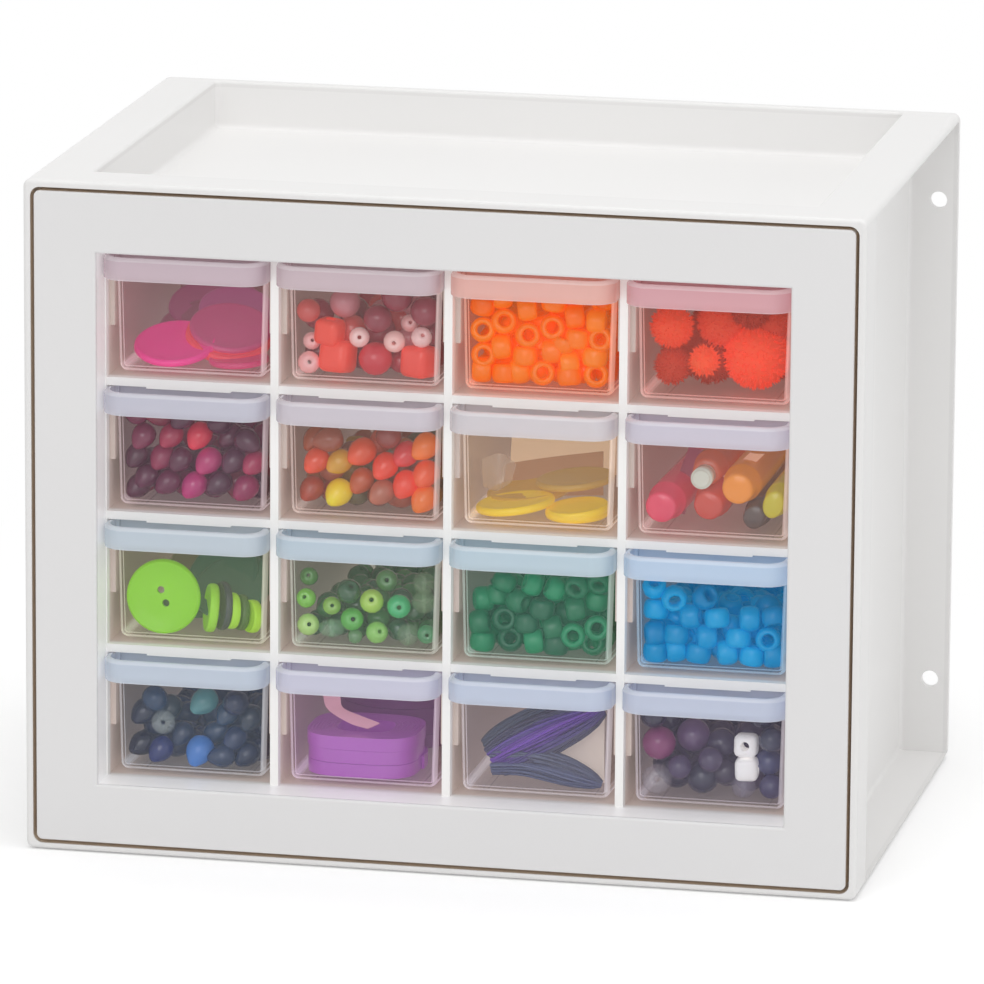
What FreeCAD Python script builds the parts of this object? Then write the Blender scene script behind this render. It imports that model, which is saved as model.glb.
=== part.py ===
"""Desk-top drawer cabinet: a white moulded case with sixteen small see-through drawers.

Millimetres. X runs to the right, Y runs from the front to the back and Z runs up.
The origin is the centre of the rectangle that the cabinet stands on.
"""

import FreeCAD, Part
import math
import os

# --- outer case --------------------------------------------------------------------------
CASE_WIDTH = 265.0
CASE_DEPTH = 178.0
CASE_HEIGHT = 215.0
CASE_WALL = 2.3
CASE_CORNER_RADIUS = 2.5
CASE_FRONT_EDGE_RADIUS = 1.2
FRAME_DEPTH = 17.0
WEB_THICKNESS = 2.5
SIDE_RECESS = 16.0
REAR_FLANGE_THICKNESS = 2.5
RECESS_FILLET = 1.5
STANDING_FACE_DROP = 0.4
STANDING_FACE_INSET = 3.5

# --- tray in the top ---------------------------------------------------------------------
TRAY_DEPTH = 15.8
TRAY_FLOOR_THICKNESS = 2.5
TRAY_REAR_WALL = 3.0
TRAY_FILLET = 1.8
TRAY_RIM_RADIUS = 1.0

# --- wall-mounting holes in the rear flanges ----------------------------------------------
WALL_HOLE_DIAMETER = 5.5
WALL_HOLE_SIDE_MARGIN = 6.2
WALL_HOLE_LOW_Z = 26.9
WALL_HOLE_TOP_MARGIN = 28.3

# --- front bezel -------------------------------------------------------------------------
BEZEL_GROOVE = 1.1
BEZEL_THICKNESS = 2.5
BEZEL_SKIRT = 2.0
BEZEL_CORNER_RADIUS = 2.0
BEZEL_EDGE_RADIUS = 0.5
BEZEL_RETURN_WALL = 2.3
BEZEL_RETURN_DEPTH = 12.0
OPENING_MARGIN_SIDE = 23.2
OPENING_MARGIN_BOTTOM = 22.4
OPENING_MARGIN_TOP = 22.5
OPENING_EDGE_RADIUS = 0.9

# --- snap hooks that hold the bezel -------------------------------------------------------
HOOKS_PER_SIDE = 2
HOOK_SPACING = 110.0
HOOK_WIDTH = 12.0
HOOK_ARM = 1.8
HOOK_BARB = 1.0
HOOK_BARB_LENGTH = 2.4
HOOK_CLEARANCE = 0.3
HOOK_INSET = 8.0

# --- drawer housing: the sleeve behind the bezel ------------------------------------------
HOUSING_WALL = 2.6
HOUSING_REVEAL_SIDE = 0.25
HOUSING_REVEAL_FLOOR = 0.2
HOUSING_REVEAL_ROOF = 1.3
SUPPORT_RIB = 2.0
SIDE_RIBS = 3

# --- dividers and shelves -----------------------------------------------------------------
COLUMNS = 4
ROWS = 4
DIVIDER_THICKNESS = 2.6
SHELF_THICKNESS = 2.6
SHELF_WEB = 2.0
SHELF_BEAD_DEPTH = 3.0
LAP_CLEARANCE = 0.05
TONGUE_DEPTH = 1.0
TONGUE_SETBACK = 8.0
STOP_LIP_WIDTH = 27.0
STOP_LIP_DROP = 0.5
RAIL_SETBACK = 5.0
RAIL_PROJECTION = 1.45
RAIL_FOOT_HEIGHT = 15.5

# --- drawers ------------------------------------------------------------------------------
RUN_CLEARANCE = 0.3
DRAWER_RAIL_CLEARANCE = 0.35
DRAWER_LIP_SIDE_CLEARANCE = 0.2
DRAWER_DRAFT = 1.0
DRAWER_WALL = 1.2
DRAWER_CORNER_RADIUS = 2.5
DRAWER_FACE_SETBACK = 4.5
DRAWER_REAR_GAP = 6.5
DRAWER_RIM_GAP = 0.8
DRAWER_RIM_RADIUS = 0.3
RUNNER_HEIGHT = 0.7
RUNNER_WIDTH = 1.6
RUNNER_SPACING = 34.0
RUNNER_END_GAP = 5.0
LIP_REACH = 15.0
LIP_HEIGHT = 7.2
LIP_WALL = 1.8
LIP_LEDGE = 1.2
LIP_TOP_GAP = 0.2
LIP_CORNER_RADIUS = 7.5
LIP_TOP_RADIUS = 1.2
LIP_BOTTOM_RADIUS = 0.4
LIP_SHOULDER_RELIEF = 0.4
REAR_TAB_WIDTH = 24.0
REAR_TAB_THICKNESS = 1.8

# --- rear panel and its screws ------------------------------------------------------------
PANEL_THICKNESS = 2.5
PANEL_INSET = 2.5
PANEL_CLEARANCE = 0.2
PANEL_TONGUE_LENGTH = 8.0
PANEL_TONGUE_WIDTH = 18.0
SCREW_SHANK_DIAMETER = 2.9
SCREW_BORE_CLEARANCE = 0.05
SCREW_HOLE_CLEARANCE = 0.25
SCREW_GRIP = 10.0
SCREW_TIP = 2.0
SCREW_HEAD_DIAMETER = 6.0
SCREW_HEAD_HEIGHT = 1.9
SCREW_HEAD_RADIUS = 0.6
SCREW_SLOT_LENGTH = 3.6
SCREW_SLOT_WIDTH = 0.8
SCREW_SLOT_DEPTH = 1.1
BOSS_DIAMETER = 7.0
BOSS_LENGTH = 18.0

# --- places worked out from the sizes above -----------------------------------------------
FRONT_Y = -CASE_DEPTH / 2
REAR_Y = CASE_DEPTH / 2
HALF_WIDTH = CASE_WIDTH / 2
RIM_HALF_WIDTH = HALF_WIDTH - CASE_WALL
RIM_LOW_Z = CASE_WALL
RIM_HIGH_Z = CASE_HEIGHT - CASE_WALL
WALL_HOLE_X = HALF_WIDTH - WALL_HOLE_SIDE_MARGIN
WALL_HOLE_HIGH_Z = CASE_HEIGHT - WALL_HOLE_TOP_MARGIN
CORE_OUTER_X = HALF_WIDTH - SIDE_RECESS
CORE_INNER_X = CORE_OUTER_X - CASE_WALL
FRAME_BACK_Y = FRONT_Y + FRAME_DEPTH
WEB_FRONT_Y = FRAME_BACK_Y - WEB_THICKNESS
TRAY_FLOOR_Z = CASE_HEIGHT - TRAY_DEPTH
TRAY_UNDERSIDE_Z = TRAY_FLOOR_Z - TRAY_FLOOR_THICKNESS
TRAY_REAR_Y = REAR_Y - TRAY_REAR_WALL
FLANGE_FRONT_Y = REAR_Y - REAR_FLANGE_THICKNESS

OPENING_HALF_WIDTH = HALF_WIDTH - OPENING_MARGIN_SIDE
OPENING_LOW_Z = OPENING_MARGIN_BOTTOM
OPENING_HIGH_Z = CASE_HEIGHT - OPENING_MARGIN_TOP
BEZEL_HALF_WIDTH = RIM_HALF_WIDTH - BEZEL_GROOVE
BEZEL_LOW_Z = RIM_LOW_Z + BEZEL_GROOVE
BEZEL_HIGH_Z = RIM_HIGH_Z - BEZEL_GROOVE
HOOK_ARM_X = CORE_INNER_X + HOOK_INSET

PANEL_BACK_Y = REAR_Y - PANEL_INSET
PANEL_FRONT_Y = PANEL_BACK_Y - PANEL_THICKNESS
HOUSING_FRONT_Y = FRONT_Y + BEZEL_RETURN_DEPTH
HOUSING_INNER_X = OPENING_HALF_WIDTH - HOUSING_REVEAL_SIDE
HOUSING_OUTER_X = HOUSING_INNER_X + HOUSING_WALL
HOUSING_FLOOR_Z = OPENING_LOW_Z - HOUSING_REVEAL_FLOOR
HOUSING_ROOF_Z = OPENING_HIGH_Z - HOUSING_REVEAL_ROOF
HOUSING_LOW_Z = HOUSING_FLOOR_Z - HOUSING_WALL
HOUSING_HIGH_Z = HOUSING_ROOF_Z + HOUSING_WALL

BEAD_DROP = SHELF_THICKNESS - SHELF_WEB
BEAD_BACK_Y = HOUSING_FRONT_Y + SHELF_BEAD_DEPTH
LAP_Y = (HOUSING_FRONT_Y + PANEL_FRONT_Y) / 2
RAIL_FRONT_Y = HOUSING_FRONT_Y + RAIL_SETBACK
TONGUE_FRONT_Y = HOUSING_FRONT_Y + TONGUE_SETBACK

CLEAR_WIDTH = (2 * HOUSING_INNER_X - (COLUMNS - 1) * DIVIDER_THICKNESS) / COLUMNS
CLEAR_HEIGHT = (HOUSING_ROOF_Z - HOUSING_FLOOR_Z - (ROWS - 1) * SHELF_THICKNESS) / ROWS
COLUMN_PITCH = CLEAR_WIDTH + DIVIDER_THICKNESS
ROW_PITCH = CLEAR_HEIGHT + SHELF_THICKNESS

SCREW_Z = (CASE_WALL + HOUSING_LOW_Z) / 2
SCREW_SPACING = 3 * COLUMN_PITCH


# --- small helpers ------------------------------------------------------------------------
def block(x_span, y_span, z_span):
    """A box from its three spans, each a (low, high) pair."""
    sizes = [span[1] - span[0] for span in (x_span, y_span, z_span)]
    corner = FreeCAD.Vector(x_span[0], y_span[0], z_span[0])
    return Part.makeBox(sizes[0], sizes[1], sizes[2], corner)


def join(shapes):
    """One solid from shapes that touch or overlap."""
    whole = shapes[0].fuse(list(shapes[1:])) if len(shapes) > 1 else shapes[0]
    return whole.removeSplitter()


def spans_axis(edge, axis):
    """True for a straight edge that runs along one axis, 0 for X, 1 for Y and 2 for Z."""
    if not isinstance(edge.Curve, Part.Line):
        return False
    return abs(abs(edge.Curve.Direction[axis]) - 1.0) < 1e-6


def edges_where(shape, test):
    """The shape's edges whose middle point passes a test."""
    return [edge for edge in shape.Edges if test(edge, edge.CenterOfMass)]


def near(value, target):
    """True where two lengths agree to a hundredth of a millimetre."""
    return abs(value - target) < 0.01


def rounded_prism_y(half_width, z_span, y_span, radius):
    """A box along Y about the middle plane, with its four long edges rounded."""
    solid = block((-half_width, half_width), y_span, z_span)
    return solid.makeFillet(radius, edges_where(solid, lambda edge, middle: spans_axis(edge, 1)))


def column_centre(column):
    """The X of a compartment's middle, columns counted from the left."""
    return (column - (COLUMNS - 1) / 2) * COLUMN_PITCH


def row_floor(row):
    """The Z of a compartment's floor, rows counted from the top."""
    return HOUSING_FLOOR_Z + (ROWS - 1 - row) * ROW_PITCH


# --- outer case ---------------------------------------------------------------------------
def case_block():
    """The case's outer form: rounded corners and front edge, and the flat face that it stands on."""
    z_span = (STANDING_FACE_DROP, CASE_HEIGHT)
    solid = rounded_prism_y(HALF_WIDTH, z_span, (FRONT_Y, REAR_Y), CASE_CORNER_RADIUS)
    front_edges = edges_where(solid, lambda edge, middle: near(middle.y, FRONT_Y))
    solid = solid.makeFillet(CASE_FRONT_EDGE_RADIUS, front_edges)
    face_x = HALF_WIDTH - STANDING_FACE_INSET
    face_y_span = (FRONT_Y + STANDING_FACE_INSET, REAR_Y - STANDING_FACE_INSET)
    standing_face = block((-face_x, face_x), face_y_span, (0.0, CASE_WALL))
    return solid.fuse(standing_face).removeSplitter()


def side_recess(side):
    """The hollow in one side, between the front frame, the top, the foot and the rear flange."""
    outer_x = side * (HALF_WIDTH + CASE_WALL)
    x_span = tuple(sorted((side * CORE_OUTER_X, outer_x)))
    z_span = (CASE_WALL, CASE_HEIGHT - CASE_WALL)
    hollow = block(x_span, (FRAME_BACK_Y, FLANGE_FRONT_Y), z_span)
    inner = edges_where(hollow, lambda edge, middle: near(middle.x, side * CORE_OUTER_X))
    return hollow.makeFillet(RECESS_FILLET, inner)


def tray_hollow():
    """The tray's hollow, rounded along its floor and down its corners."""
    top_z = CASE_HEIGHT + TRAY_DEPTH
    hollow = block((-CORE_INNER_X, CORE_INNER_X), (FRAME_BACK_Y, TRAY_REAR_Y), (TRAY_FLOOR_Z, top_z))
    rounded = edges_where(
        hollow, lambda edge, middle: near(middle.z, TRAY_FLOOR_Z) or spans_axis(edge, 2)
    )
    return hollow.makeFillet(TRAY_FILLET, rounded)


def bezel_seat():
    """The open mouth of the front frame, down to the web that the bezel's skirt rests on."""
    return rounded_prism_y(
        RIM_HALF_WIDTH,
        (RIM_LOW_Z, RIM_HIGH_Z),
        (FRONT_Y - FRAME_DEPTH, WEB_FRONT_Y),
        BEZEL_CORNER_RADIUS + BEZEL_GROOVE,
    )


def wall_holes():
    """The four holes through the rear flanges."""
    holes = []
    for side in (-1, 1):
        for z in (WALL_HOLE_LOW_Z, WALL_HOLE_HIGH_Z):
            x = side * WALL_HOLE_X
            start = FreeCAD.Vector(x, FLANGE_FRONT_Y - REAR_FLANGE_THICKNESS, z)
            length = 3 * REAR_FLANGE_THICKNESS
            holes.append(Part.makeCylinder(WALL_HOLE_DIAMETER / 2, length, start, FreeCAD.Vector(0, 1, 0)))
    return holes


def hook_levels():
    """The middle heights of the bezel's snap hooks."""
    middle_z = (OPENING_LOW_Z + OPENING_HIGH_Z) / 2
    return [middle_z + (i - (HOOKS_PER_SIDE - 1) / 2) * HOOK_SPACING for i in range(HOOKS_PER_SIDE)]


def hook_slots():
    """Slots in the web, with room for each hook to bend inwards by its barb."""
    slots = []
    for side in (-1, 1):
        inner_x = HOOK_ARM_X - HOOK_BARB - HOOK_CLEARANCE
        outer_x = HOOK_ARM_X + HOOK_ARM + HOOK_CLEARANCE
        x_span = tuple(sorted((side * inner_x, side * outer_x)))
        y_span = (WEB_FRONT_Y - WEB_THICKNESS, FRAME_BACK_Y + WEB_THICKNESS)
        for level in hook_levels():
            reach = HOOK_WIDTH / 2 + HOOK_CLEARANCE
            slots.append(block(x_span, y_span, (level - reach, level + reach)))
    return slots


def support_ribs():
    """Ribs inside the case that carry the drawer housing from below, above and the sides."""
    y_span = (FRAME_BACK_Y, PANEL_FRONT_Y)
    ribs = []
    for line in range(COLUMNS + 1):
        x = (line - COLUMNS / 2) * COLUMN_PITCH
        x_span = (x - SUPPORT_RIB / 2, x + SUPPORT_RIB / 2)
        ribs.append(block(x_span, y_span, (CASE_WALL, HOUSING_LOW_Z)))
        if 0 < line < COLUMNS:
            ribs.append(block(x_span, y_span, (HOUSING_HIGH_Z, TRAY_UNDERSIDE_Z)))
    for side in (-1, 1):
        x_span = tuple(sorted((side * HOUSING_OUTER_X, side * CORE_INNER_X)))
        for level in range(SIDE_RIBS):
            z = row_floor(level) - SHELF_THICKNESS / 2
            ribs.append(block(x_span, y_span, (z - SUPPORT_RIB / 2, z + SUPPORT_RIB / 2)))
    return ribs


def screw_places():
    """The X of each rear-panel screw."""
    return [-SCREW_SPACING / 2, SCREW_SPACING / 2]


def screw_bosses():
    """Bosses on the case floor for the rear-panel screws, each on its own short wall."""
    bosses = []
    back = FreeCAD.Vector(0, 1, 0)
    for x in screw_places():
        start = FreeCAD.Vector(x, PANEL_FRONT_Y - BOSS_LENGTH, SCREW_Z)
        boss = Part.makeCylinder(BOSS_DIAMETER / 2, BOSS_LENGTH, start, back)
        x_span = (x - SUPPORT_RIB / 2, x + SUPPORT_RIB / 2)
        foot = block(x_span, (PANEL_FRONT_Y - BOSS_LENGTH, PANEL_FRONT_Y), (CASE_WALL, SCREW_Z))
        bosses.append(boss.fuse(foot))
    return bosses


def boss_bores():
    """The blind bores that the screws cut their thread in."""
    radius = SCREW_SHANK_DIAMETER / 2 + SCREW_BORE_CLEARANCE
    depth = SCREW_GRIP + SCREW_TIP + SCREW_HEAD_RADIUS
    back = FreeCAD.Vector(0, 1, 0)
    starts = [FreeCAD.Vector(x, PANEL_FRONT_Y - depth, SCREW_Z) for x in screw_places()]
    return [Part.makeCylinder(radius, depth, start, back) for start in starts]


def outer_case():
    """The white shell: front frame, top with its tray, recessed sides, foot and rear flanges."""
    core = block(
        (-CORE_INNER_X, CORE_INNER_X), (WEB_FRONT_Y - WEB_THICKNESS, REAR_Y + TRAY_REAR_WALL),
        (CASE_WALL, TRAY_UNDERSIDE_Z),
    )
    hollows = [side_recess(-1), side_recess(1), tray_hollow(), bezel_seat(), core]
    shell = case_block().cut(hollows)
    tray_rim = edges_where(
        shell,
        lambda edge, middle: near(middle.z, CASE_HEIGHT)
        and abs(middle.x) < CORE_INNER_X + CASE_WALL
        and FRAME_BACK_Y - CASE_WALL < middle.y < TRAY_REAR_Y + CASE_WALL,
    )
    shell = shell.makeFillet(TRAY_RIM_RADIUS, tray_rim)
    shell = join([shell] + support_ribs() + screw_bosses())
    return shell.cut(wall_holes() + hook_slots() + boss_bores())


# --- front bezel --------------------------------------------------------------------------
def bezel_hook(side, level):
    """One snap hook: an arm through the web with a barb behind it."""
    tip_y = FRAME_BACK_Y + HOOK_CLEARANCE + HOOK_BARB_LENGTH
    catch_y = FRAME_BACK_Y + HOOK_CLEARANCE
    outer_x = HOOK_ARM_X + HOOK_ARM
    outline = [
        (HOOK_ARM_X, FRONT_Y + BEZEL_THICKNESS),
        (outer_x, FRONT_Y + BEZEL_THICKNESS),
        (outer_x, catch_y),
        (outer_x + HOOK_BARB, catch_y),
        (outer_x, tip_y),
        (HOOK_ARM_X, tip_y),
    ]
    points = [FreeCAD.Vector(side * x, y, level - HOOK_WIDTH / 2) for x, y in outline]
    face = Part.Face(Part.makePolygon(points + points[:1]))
    return face.extrude(FreeCAD.Vector(0, 0, HOOK_WIDTH))


def front_bezel():
    """The flat white frame round the drawers, with a skirt outside and returns round the opening."""
    plate_back_y = FRONT_Y + BEZEL_THICKNESS
    z_span = (BEZEL_LOW_Z, BEZEL_HIGH_Z)
    body = rounded_prism_y(BEZEL_HALF_WIDTH, z_span, (FRONT_Y, WEB_FRONT_Y), BEZEL_CORNER_RADIUS)
    body = body.makeFillet(
        BEZEL_EDGE_RADIUS, edges_where(body, lambda edge, middle: near(middle.y, FRONT_Y))
    )
    inside = block(
        (-BEZEL_HALF_WIDTH + BEZEL_SKIRT, BEZEL_HALF_WIDTH - BEZEL_SKIRT),
        (plate_back_y, REAR_Y),
        (BEZEL_LOW_Z + BEZEL_SKIRT, BEZEL_HIGH_Z - BEZEL_SKIRT),
    )
    sleeve = block(
        (-OPENING_HALF_WIDTH - BEZEL_RETURN_WALL, OPENING_HALF_WIDTH + BEZEL_RETURN_WALL),
        (plate_back_y, HOUSING_FRONT_Y),
        (OPENING_LOW_Z - BEZEL_RETURN_WALL, OPENING_HIGH_Z + BEZEL_RETURN_WALL),
    )
    opening = block(
        (-OPENING_HALF_WIDTH, OPENING_HALF_WIDTH),
        (FRONT_Y - BEZEL_THICKNESS, REAR_Y),
        (OPENING_LOW_Z, OPENING_HIGH_Z),
    )
    hooks = [bezel_hook(side, level) for side in (-1, 1) for level in hook_levels()]
    body = join([body.cut(inside), sleeve] + hooks).cut(opening)
    mouth = edges_where(
        body,
        lambda edge, middle: near(middle.y, FRONT_Y)
        and abs(middle.x) < OPENING_HALF_WIDTH + BEZEL_RETURN_WALL
        and OPENING_LOW_Z - BEZEL_RETURN_WALL < middle.z < OPENING_HIGH_Z + BEZEL_RETURN_WALL,
    )
    return body.makeFillet(OPENING_EDGE_RADIUS, mouth)


# --- drawer housing, dividers and shelves ---------------------------------------------------
def ceiling_bead(column, underside_z):
    """The stop lip under a compartment's front edge, where the drawer's rear tab is caught."""
    x = column_centre(column)
    x_span = (x - STOP_LIP_WIDTH / 2, x + STOP_LIP_WIDTH / 2)
    return block(x_span, (HOUSING_FRONT_Y, BEAD_BACK_Y), (underside_z - STOP_LIP_DROP, underside_z))


def guide_rail(face_x, direction, row):
    """A drawer guide that stands out from a wall and hangs from the compartment's ceiling."""
    x_span = tuple(sorted((face_x, face_x + direction * RAIL_PROJECTION)))
    floor_z = row_floor(row)
    return block(x_span, (RAIL_FRONT_Y, PANEL_FRONT_Y), (floor_z + RAIL_FOOT_HEIGHT, floor_z + CLEAR_HEIGHT))


def shelf_web_span(row):
    """The Z span of the plain part of the shelf under a row."""
    top_z = row_floor(row)
    return (top_z - SHELF_WEB, top_z)


def drawer_housing():
    """The sleeve that holds the dividers and shelves, grooved for their edges."""
    y_span = (HOUSING_FRONT_Y, PANEL_FRONT_Y)
    outer = block((-HOUSING_OUTER_X, HOUSING_OUTER_X), y_span, (HOUSING_LOW_Z, HOUSING_HIGH_Z))
    inner = block(
        (-HOUSING_INNER_X, HOUSING_INNER_X),
        (HOUSING_FRONT_Y - HOUSING_WALL, REAR_Y),
        (HOUSING_FLOOR_Z, HOUSING_ROOF_Z),
    )
    roof_relief = block(
        (-HOUSING_INNER_X, HOUSING_INNER_X), (BEAD_BACK_Y, REAR_Y), (HOUSING_ROOF_Z, HOUSING_ROOF_Z + BEAD_DROP)
    )
    sleeve = outer.cut([inner, roof_relief])
    additions = [ceiling_bead(column, HOUSING_ROOF_Z) for column in range(COLUMNS)]
    for side in (-1, 1):
        additions += [guide_rail(side * HOUSING_INNER_X, -side, row) for row in range(ROWS)]
    sleeve = join([sleeve] + additions)
    grooves = []
    for side in (-1, 1):
        x_span = tuple(sorted((side * HOUSING_INNER_X, side * (HOUSING_INNER_X + TONGUE_DEPTH))))
        grooves += [block(x_span, (TONGUE_FRONT_Y, REAR_Y), shelf_web_span(row)) for row in range(ROWS - 1)]
    return sleeve.cut(grooves)


def divider(index):
    """One upright plate, with guide rails on both faces and slots for the shelves at the back."""
    x = (index + 1 - COLUMNS / 2) * COLUMN_PITCH
    half = DIVIDER_THICKNESS / 2
    y_span = (HOUSING_FRONT_Y, PANEL_FRONT_Y)
    plate = block((x - half, x + half), y_span, (HOUSING_FLOOR_Z, HOUSING_ROOF_Z + BEAD_DROP))
    bead_notch = block(
        (x - half, x + half), (HOUSING_FRONT_Y, BEAD_BACK_Y), (HOUSING_ROOF_Z, HOUSING_ROOF_Z + BEAD_DROP)
    )
    rails = []
    for row in range(ROWS):
        rails += [guide_rail(x - half, -1, row), guide_rail(x + half, 1, row)]
    slots = []
    for row in range(ROWS - 1):
        low_z, high_z = shelf_web_span(row)
        slot_z = (low_z - LAP_CLEARANCE, high_z + LAP_CLEARANCE)
        reach = half + RAIL_PROJECTION
        slots.append(block((x - reach, x + reach), (LAP_Y, REAR_Y), slot_z))
    return join([plate.cut(bead_notch)] + rails).cut(slots)


def shelf(row):
    """The plate under one row, with a front bead, stop lips and slots for the dividers."""
    low_z, high_z = shelf_web_span(row)
    x_span = (-HOUSING_INNER_X, HOUSING_INNER_X)
    tongue_x = (-HOUSING_INNER_X - TONGUE_DEPTH, HOUSING_INNER_X + TONGUE_DEPTH)
    underside_z = high_z - SHELF_THICKNESS
    pieces = [
        block(x_span, (HOUSING_FRONT_Y, PANEL_FRONT_Y), (low_z, high_z)),
        block(tongue_x, (TONGUE_FRONT_Y, PANEL_FRONT_Y), (low_z, high_z)),
        block(x_span, (HOUSING_FRONT_Y, BEAD_BACK_Y), (underside_z, low_z)),
    ]
    pieces += [ceiling_bead(column, underside_z) for column in range(COLUMNS)]
    slots = []
    for index in range(COLUMNS - 1):
        x = (index + 1 - COLUMNS / 2) * COLUMN_PITCH
        reach = DIVIDER_THICKNESS / 2 + LAP_CLEARANCE
        slots.append(
            block((x - reach, x + reach), (HOUSING_FRONT_Y - SHELF_BEAD_DEPTH, LAP_Y), (underside_z, high_z))
        )
    return join(pieces).cut(slots)


# --- drawers ------------------------------------------------------------------------------
LIP_HALF_WIDTH = CLEAR_WIDTH / 2 - DRAWER_LIP_SIDE_CLEARANCE
BODY_TOP_HALF_WIDTH = CLEAR_WIDTH / 2 - RAIL_PROJECTION - DRAWER_RAIL_CLEARANCE
BODY_LOW_HALF_WIDTH = BODY_TOP_HALF_WIDTH - DRAWER_DRAFT
BODY_BASE = RUN_CLEARANCE + RUNNER_HEIGHT
BODY_RIM = CLEAR_HEIGHT - DRAWER_RIM_GAP
BODY_FRONT_Y = HOUSING_FRONT_Y + DRAWER_FACE_SETBACK
BODY_BACK_Y = PANEL_FRONT_Y - DRAWER_REAR_GAP
LIP_FRONT_Y = BODY_FRONT_Y - LIP_REACH
LIP_BACK_Y = RAIL_FRONT_Y - RUN_CLEARANCE
LIP_TOP = CLEAR_HEIGHT - LIP_TOP_GAP
LIP_BASE = LIP_TOP - LIP_HEIGHT
REAR_TAB_TOP = CLEAR_HEIGHT + BEAD_DROP - RUN_CLEARANCE
DRAWER_TRAVEL = BODY_BACK_Y - REAR_TAB_THICKNESS - BEAD_BACK_Y - RUN_CLEARANCE


def tapered_box(inset, y_span, z_span, radius):
    """A box that widens upwards with the drawer's draft, rounded below and at its corners."""
    slope = DRAWER_DRAFT / (BODY_RIM - BODY_BASE)
    low_x = BODY_LOW_HALF_WIDTH - inset + slope * (z_span[0] - BODY_BASE)
    high_x = BODY_LOW_HALF_WIDTH - inset + slope * (z_span[1] - BODY_BASE)
    outline = [(-low_x, z_span[0]), (low_x, z_span[0]), (high_x, z_span[1]), (-high_x, z_span[1])]
    points = [FreeCAD.Vector(x, y_span[0], z) for x, z in outline]
    face = Part.Face(Part.makePolygon(points + points[:1]))
    solid = face.extrude(FreeCAD.Vector(0, y_span[1] - y_span[0], 0))
    rounded = edges_where(solid, lambda edge, middle: not near(middle.z, z_span[1]))
    return solid.makeFillet(radius, rounded)


def lip_prism(inset, back_y, z_span):
    """The lip's outline seen from above, with two rounded front corners, as an upright prism."""
    half = LIP_HALF_WIDTH - inset
    solid = block((-half, half), (LIP_FRONT_Y + inset, back_y), z_span)
    corners = edges_where(
        solid, lambda edge, middle: spans_axis(edge, 2) and near(middle.y, LIP_FRONT_Y + inset)
    )
    return solid.makeFillet(LIP_CORNER_RADIUS - inset, corners)


def drawer_lip():
    """The pull: a ledge that steps forward from the front wall and turns up into a band."""
    lip = lip_prism(0.0, LIP_BACK_Y, (LIP_BASE, LIP_TOP))
    outer_edges = [
        (LIP_TOP, LIP_TOP_RADIUS),
        (LIP_BASE, LIP_BOTTOM_RADIUS),
    ]
    for level, radius in outer_edges:
        front_edges = edges_where(
            lip, lambda edge, middle, level=level: near(middle.z, level) and middle.y < LIP_BACK_Y - RUN_CLEARANCE
        )
        lip = lip.makeFillet(radius, front_edges)
    shoulder = block(
        (-LIP_HALF_WIDTH, LIP_HALF_WIDTH),
        (HOUSING_FRONT_Y - RUN_CLEARANCE, BODY_FRONT_Y + LIP_REACH),
        (BODY_RIM, LIP_TOP + LIP_SHOULDER_RELIEF),
    )
    return lip.cut(shoulder)


def drawer(column, row):
    """One open-topped drawer, built about the origin and set in its compartment."""
    body = tapered_box(0.0, (BODY_FRONT_Y, BODY_BACK_Y), (BODY_BASE, BODY_RIM), DRAWER_CORNER_RADIUS)
    tab = block(
        (-REAR_TAB_WIDTH / 2, REAR_TAB_WIDTH / 2),
        (BODY_BACK_Y - REAR_TAB_THICKNESS, BODY_BACK_Y),
        (BODY_RIM - REAR_TAB_THICKNESS, REAR_TAB_TOP),
    )
    runners = []
    for side in (-1, 1):
        x = side * RUNNER_SPACING / 2
        runners.append(
            block(
                (x - RUNNER_WIDTH / 2, x + RUNNER_WIDTH / 2),
                (BODY_FRONT_Y + RUNNER_END_GAP, BODY_BACK_Y - RUNNER_END_GAP),
                (RUN_CLEARANCE, BODY_BASE + DRAWER_WALL / 2),
            )
        )
    trough_back_y = LIP_BACK_Y - DRAWER_WALL
    trough = lip_prism(LIP_WALL, trough_back_y, (LIP_BASE + LIP_LEDGE, LIP_TOP + LIP_HEIGHT))
    mouth_half = BODY_TOP_HALF_WIDTH - DRAWER_WALL - DRAWER_DRAFT * LIP_HEIGHT / BODY_RIM
    mouth = block(
        (-mouth_half, mouth_half),
        (trough_back_y - DRAWER_WALL, BODY_FRONT_Y + 2 * DRAWER_WALL),
        (LIP_BASE + LIP_LEDGE, LIP_TOP + LIP_HEIGHT),
    )
    inside = tapered_box(
        DRAWER_WALL,
        (BODY_FRONT_Y + DRAWER_WALL, BODY_BACK_Y - DRAWER_WALL),
        (BODY_BASE + DRAWER_WALL, BODY_RIM + DRAWER_RIM_GAP),
        DRAWER_CORNER_RADIUS - DRAWER_WALL,
    )
    tab_room = block(
        (-REAR_TAB_WIDTH / 2, REAR_TAB_WIDTH / 2),
        (BODY_BACK_Y - REAR_TAB_THICKNESS, BODY_BACK_Y - DRAWER_WALL),
        (BODY_RIM - REAR_TAB_THICKNESS, BODY_RIM + DRAWER_RIM_GAP),
    )
    hollow = body.fuse(drawer_lip()).cut([inside.cut(tab_room), trough, mouth])
    solid = join([hollow, tab] + runners)
    solid.translate(FreeCAD.Vector(column_centre(column), 0, row_floor(row)))
    return solid


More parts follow.
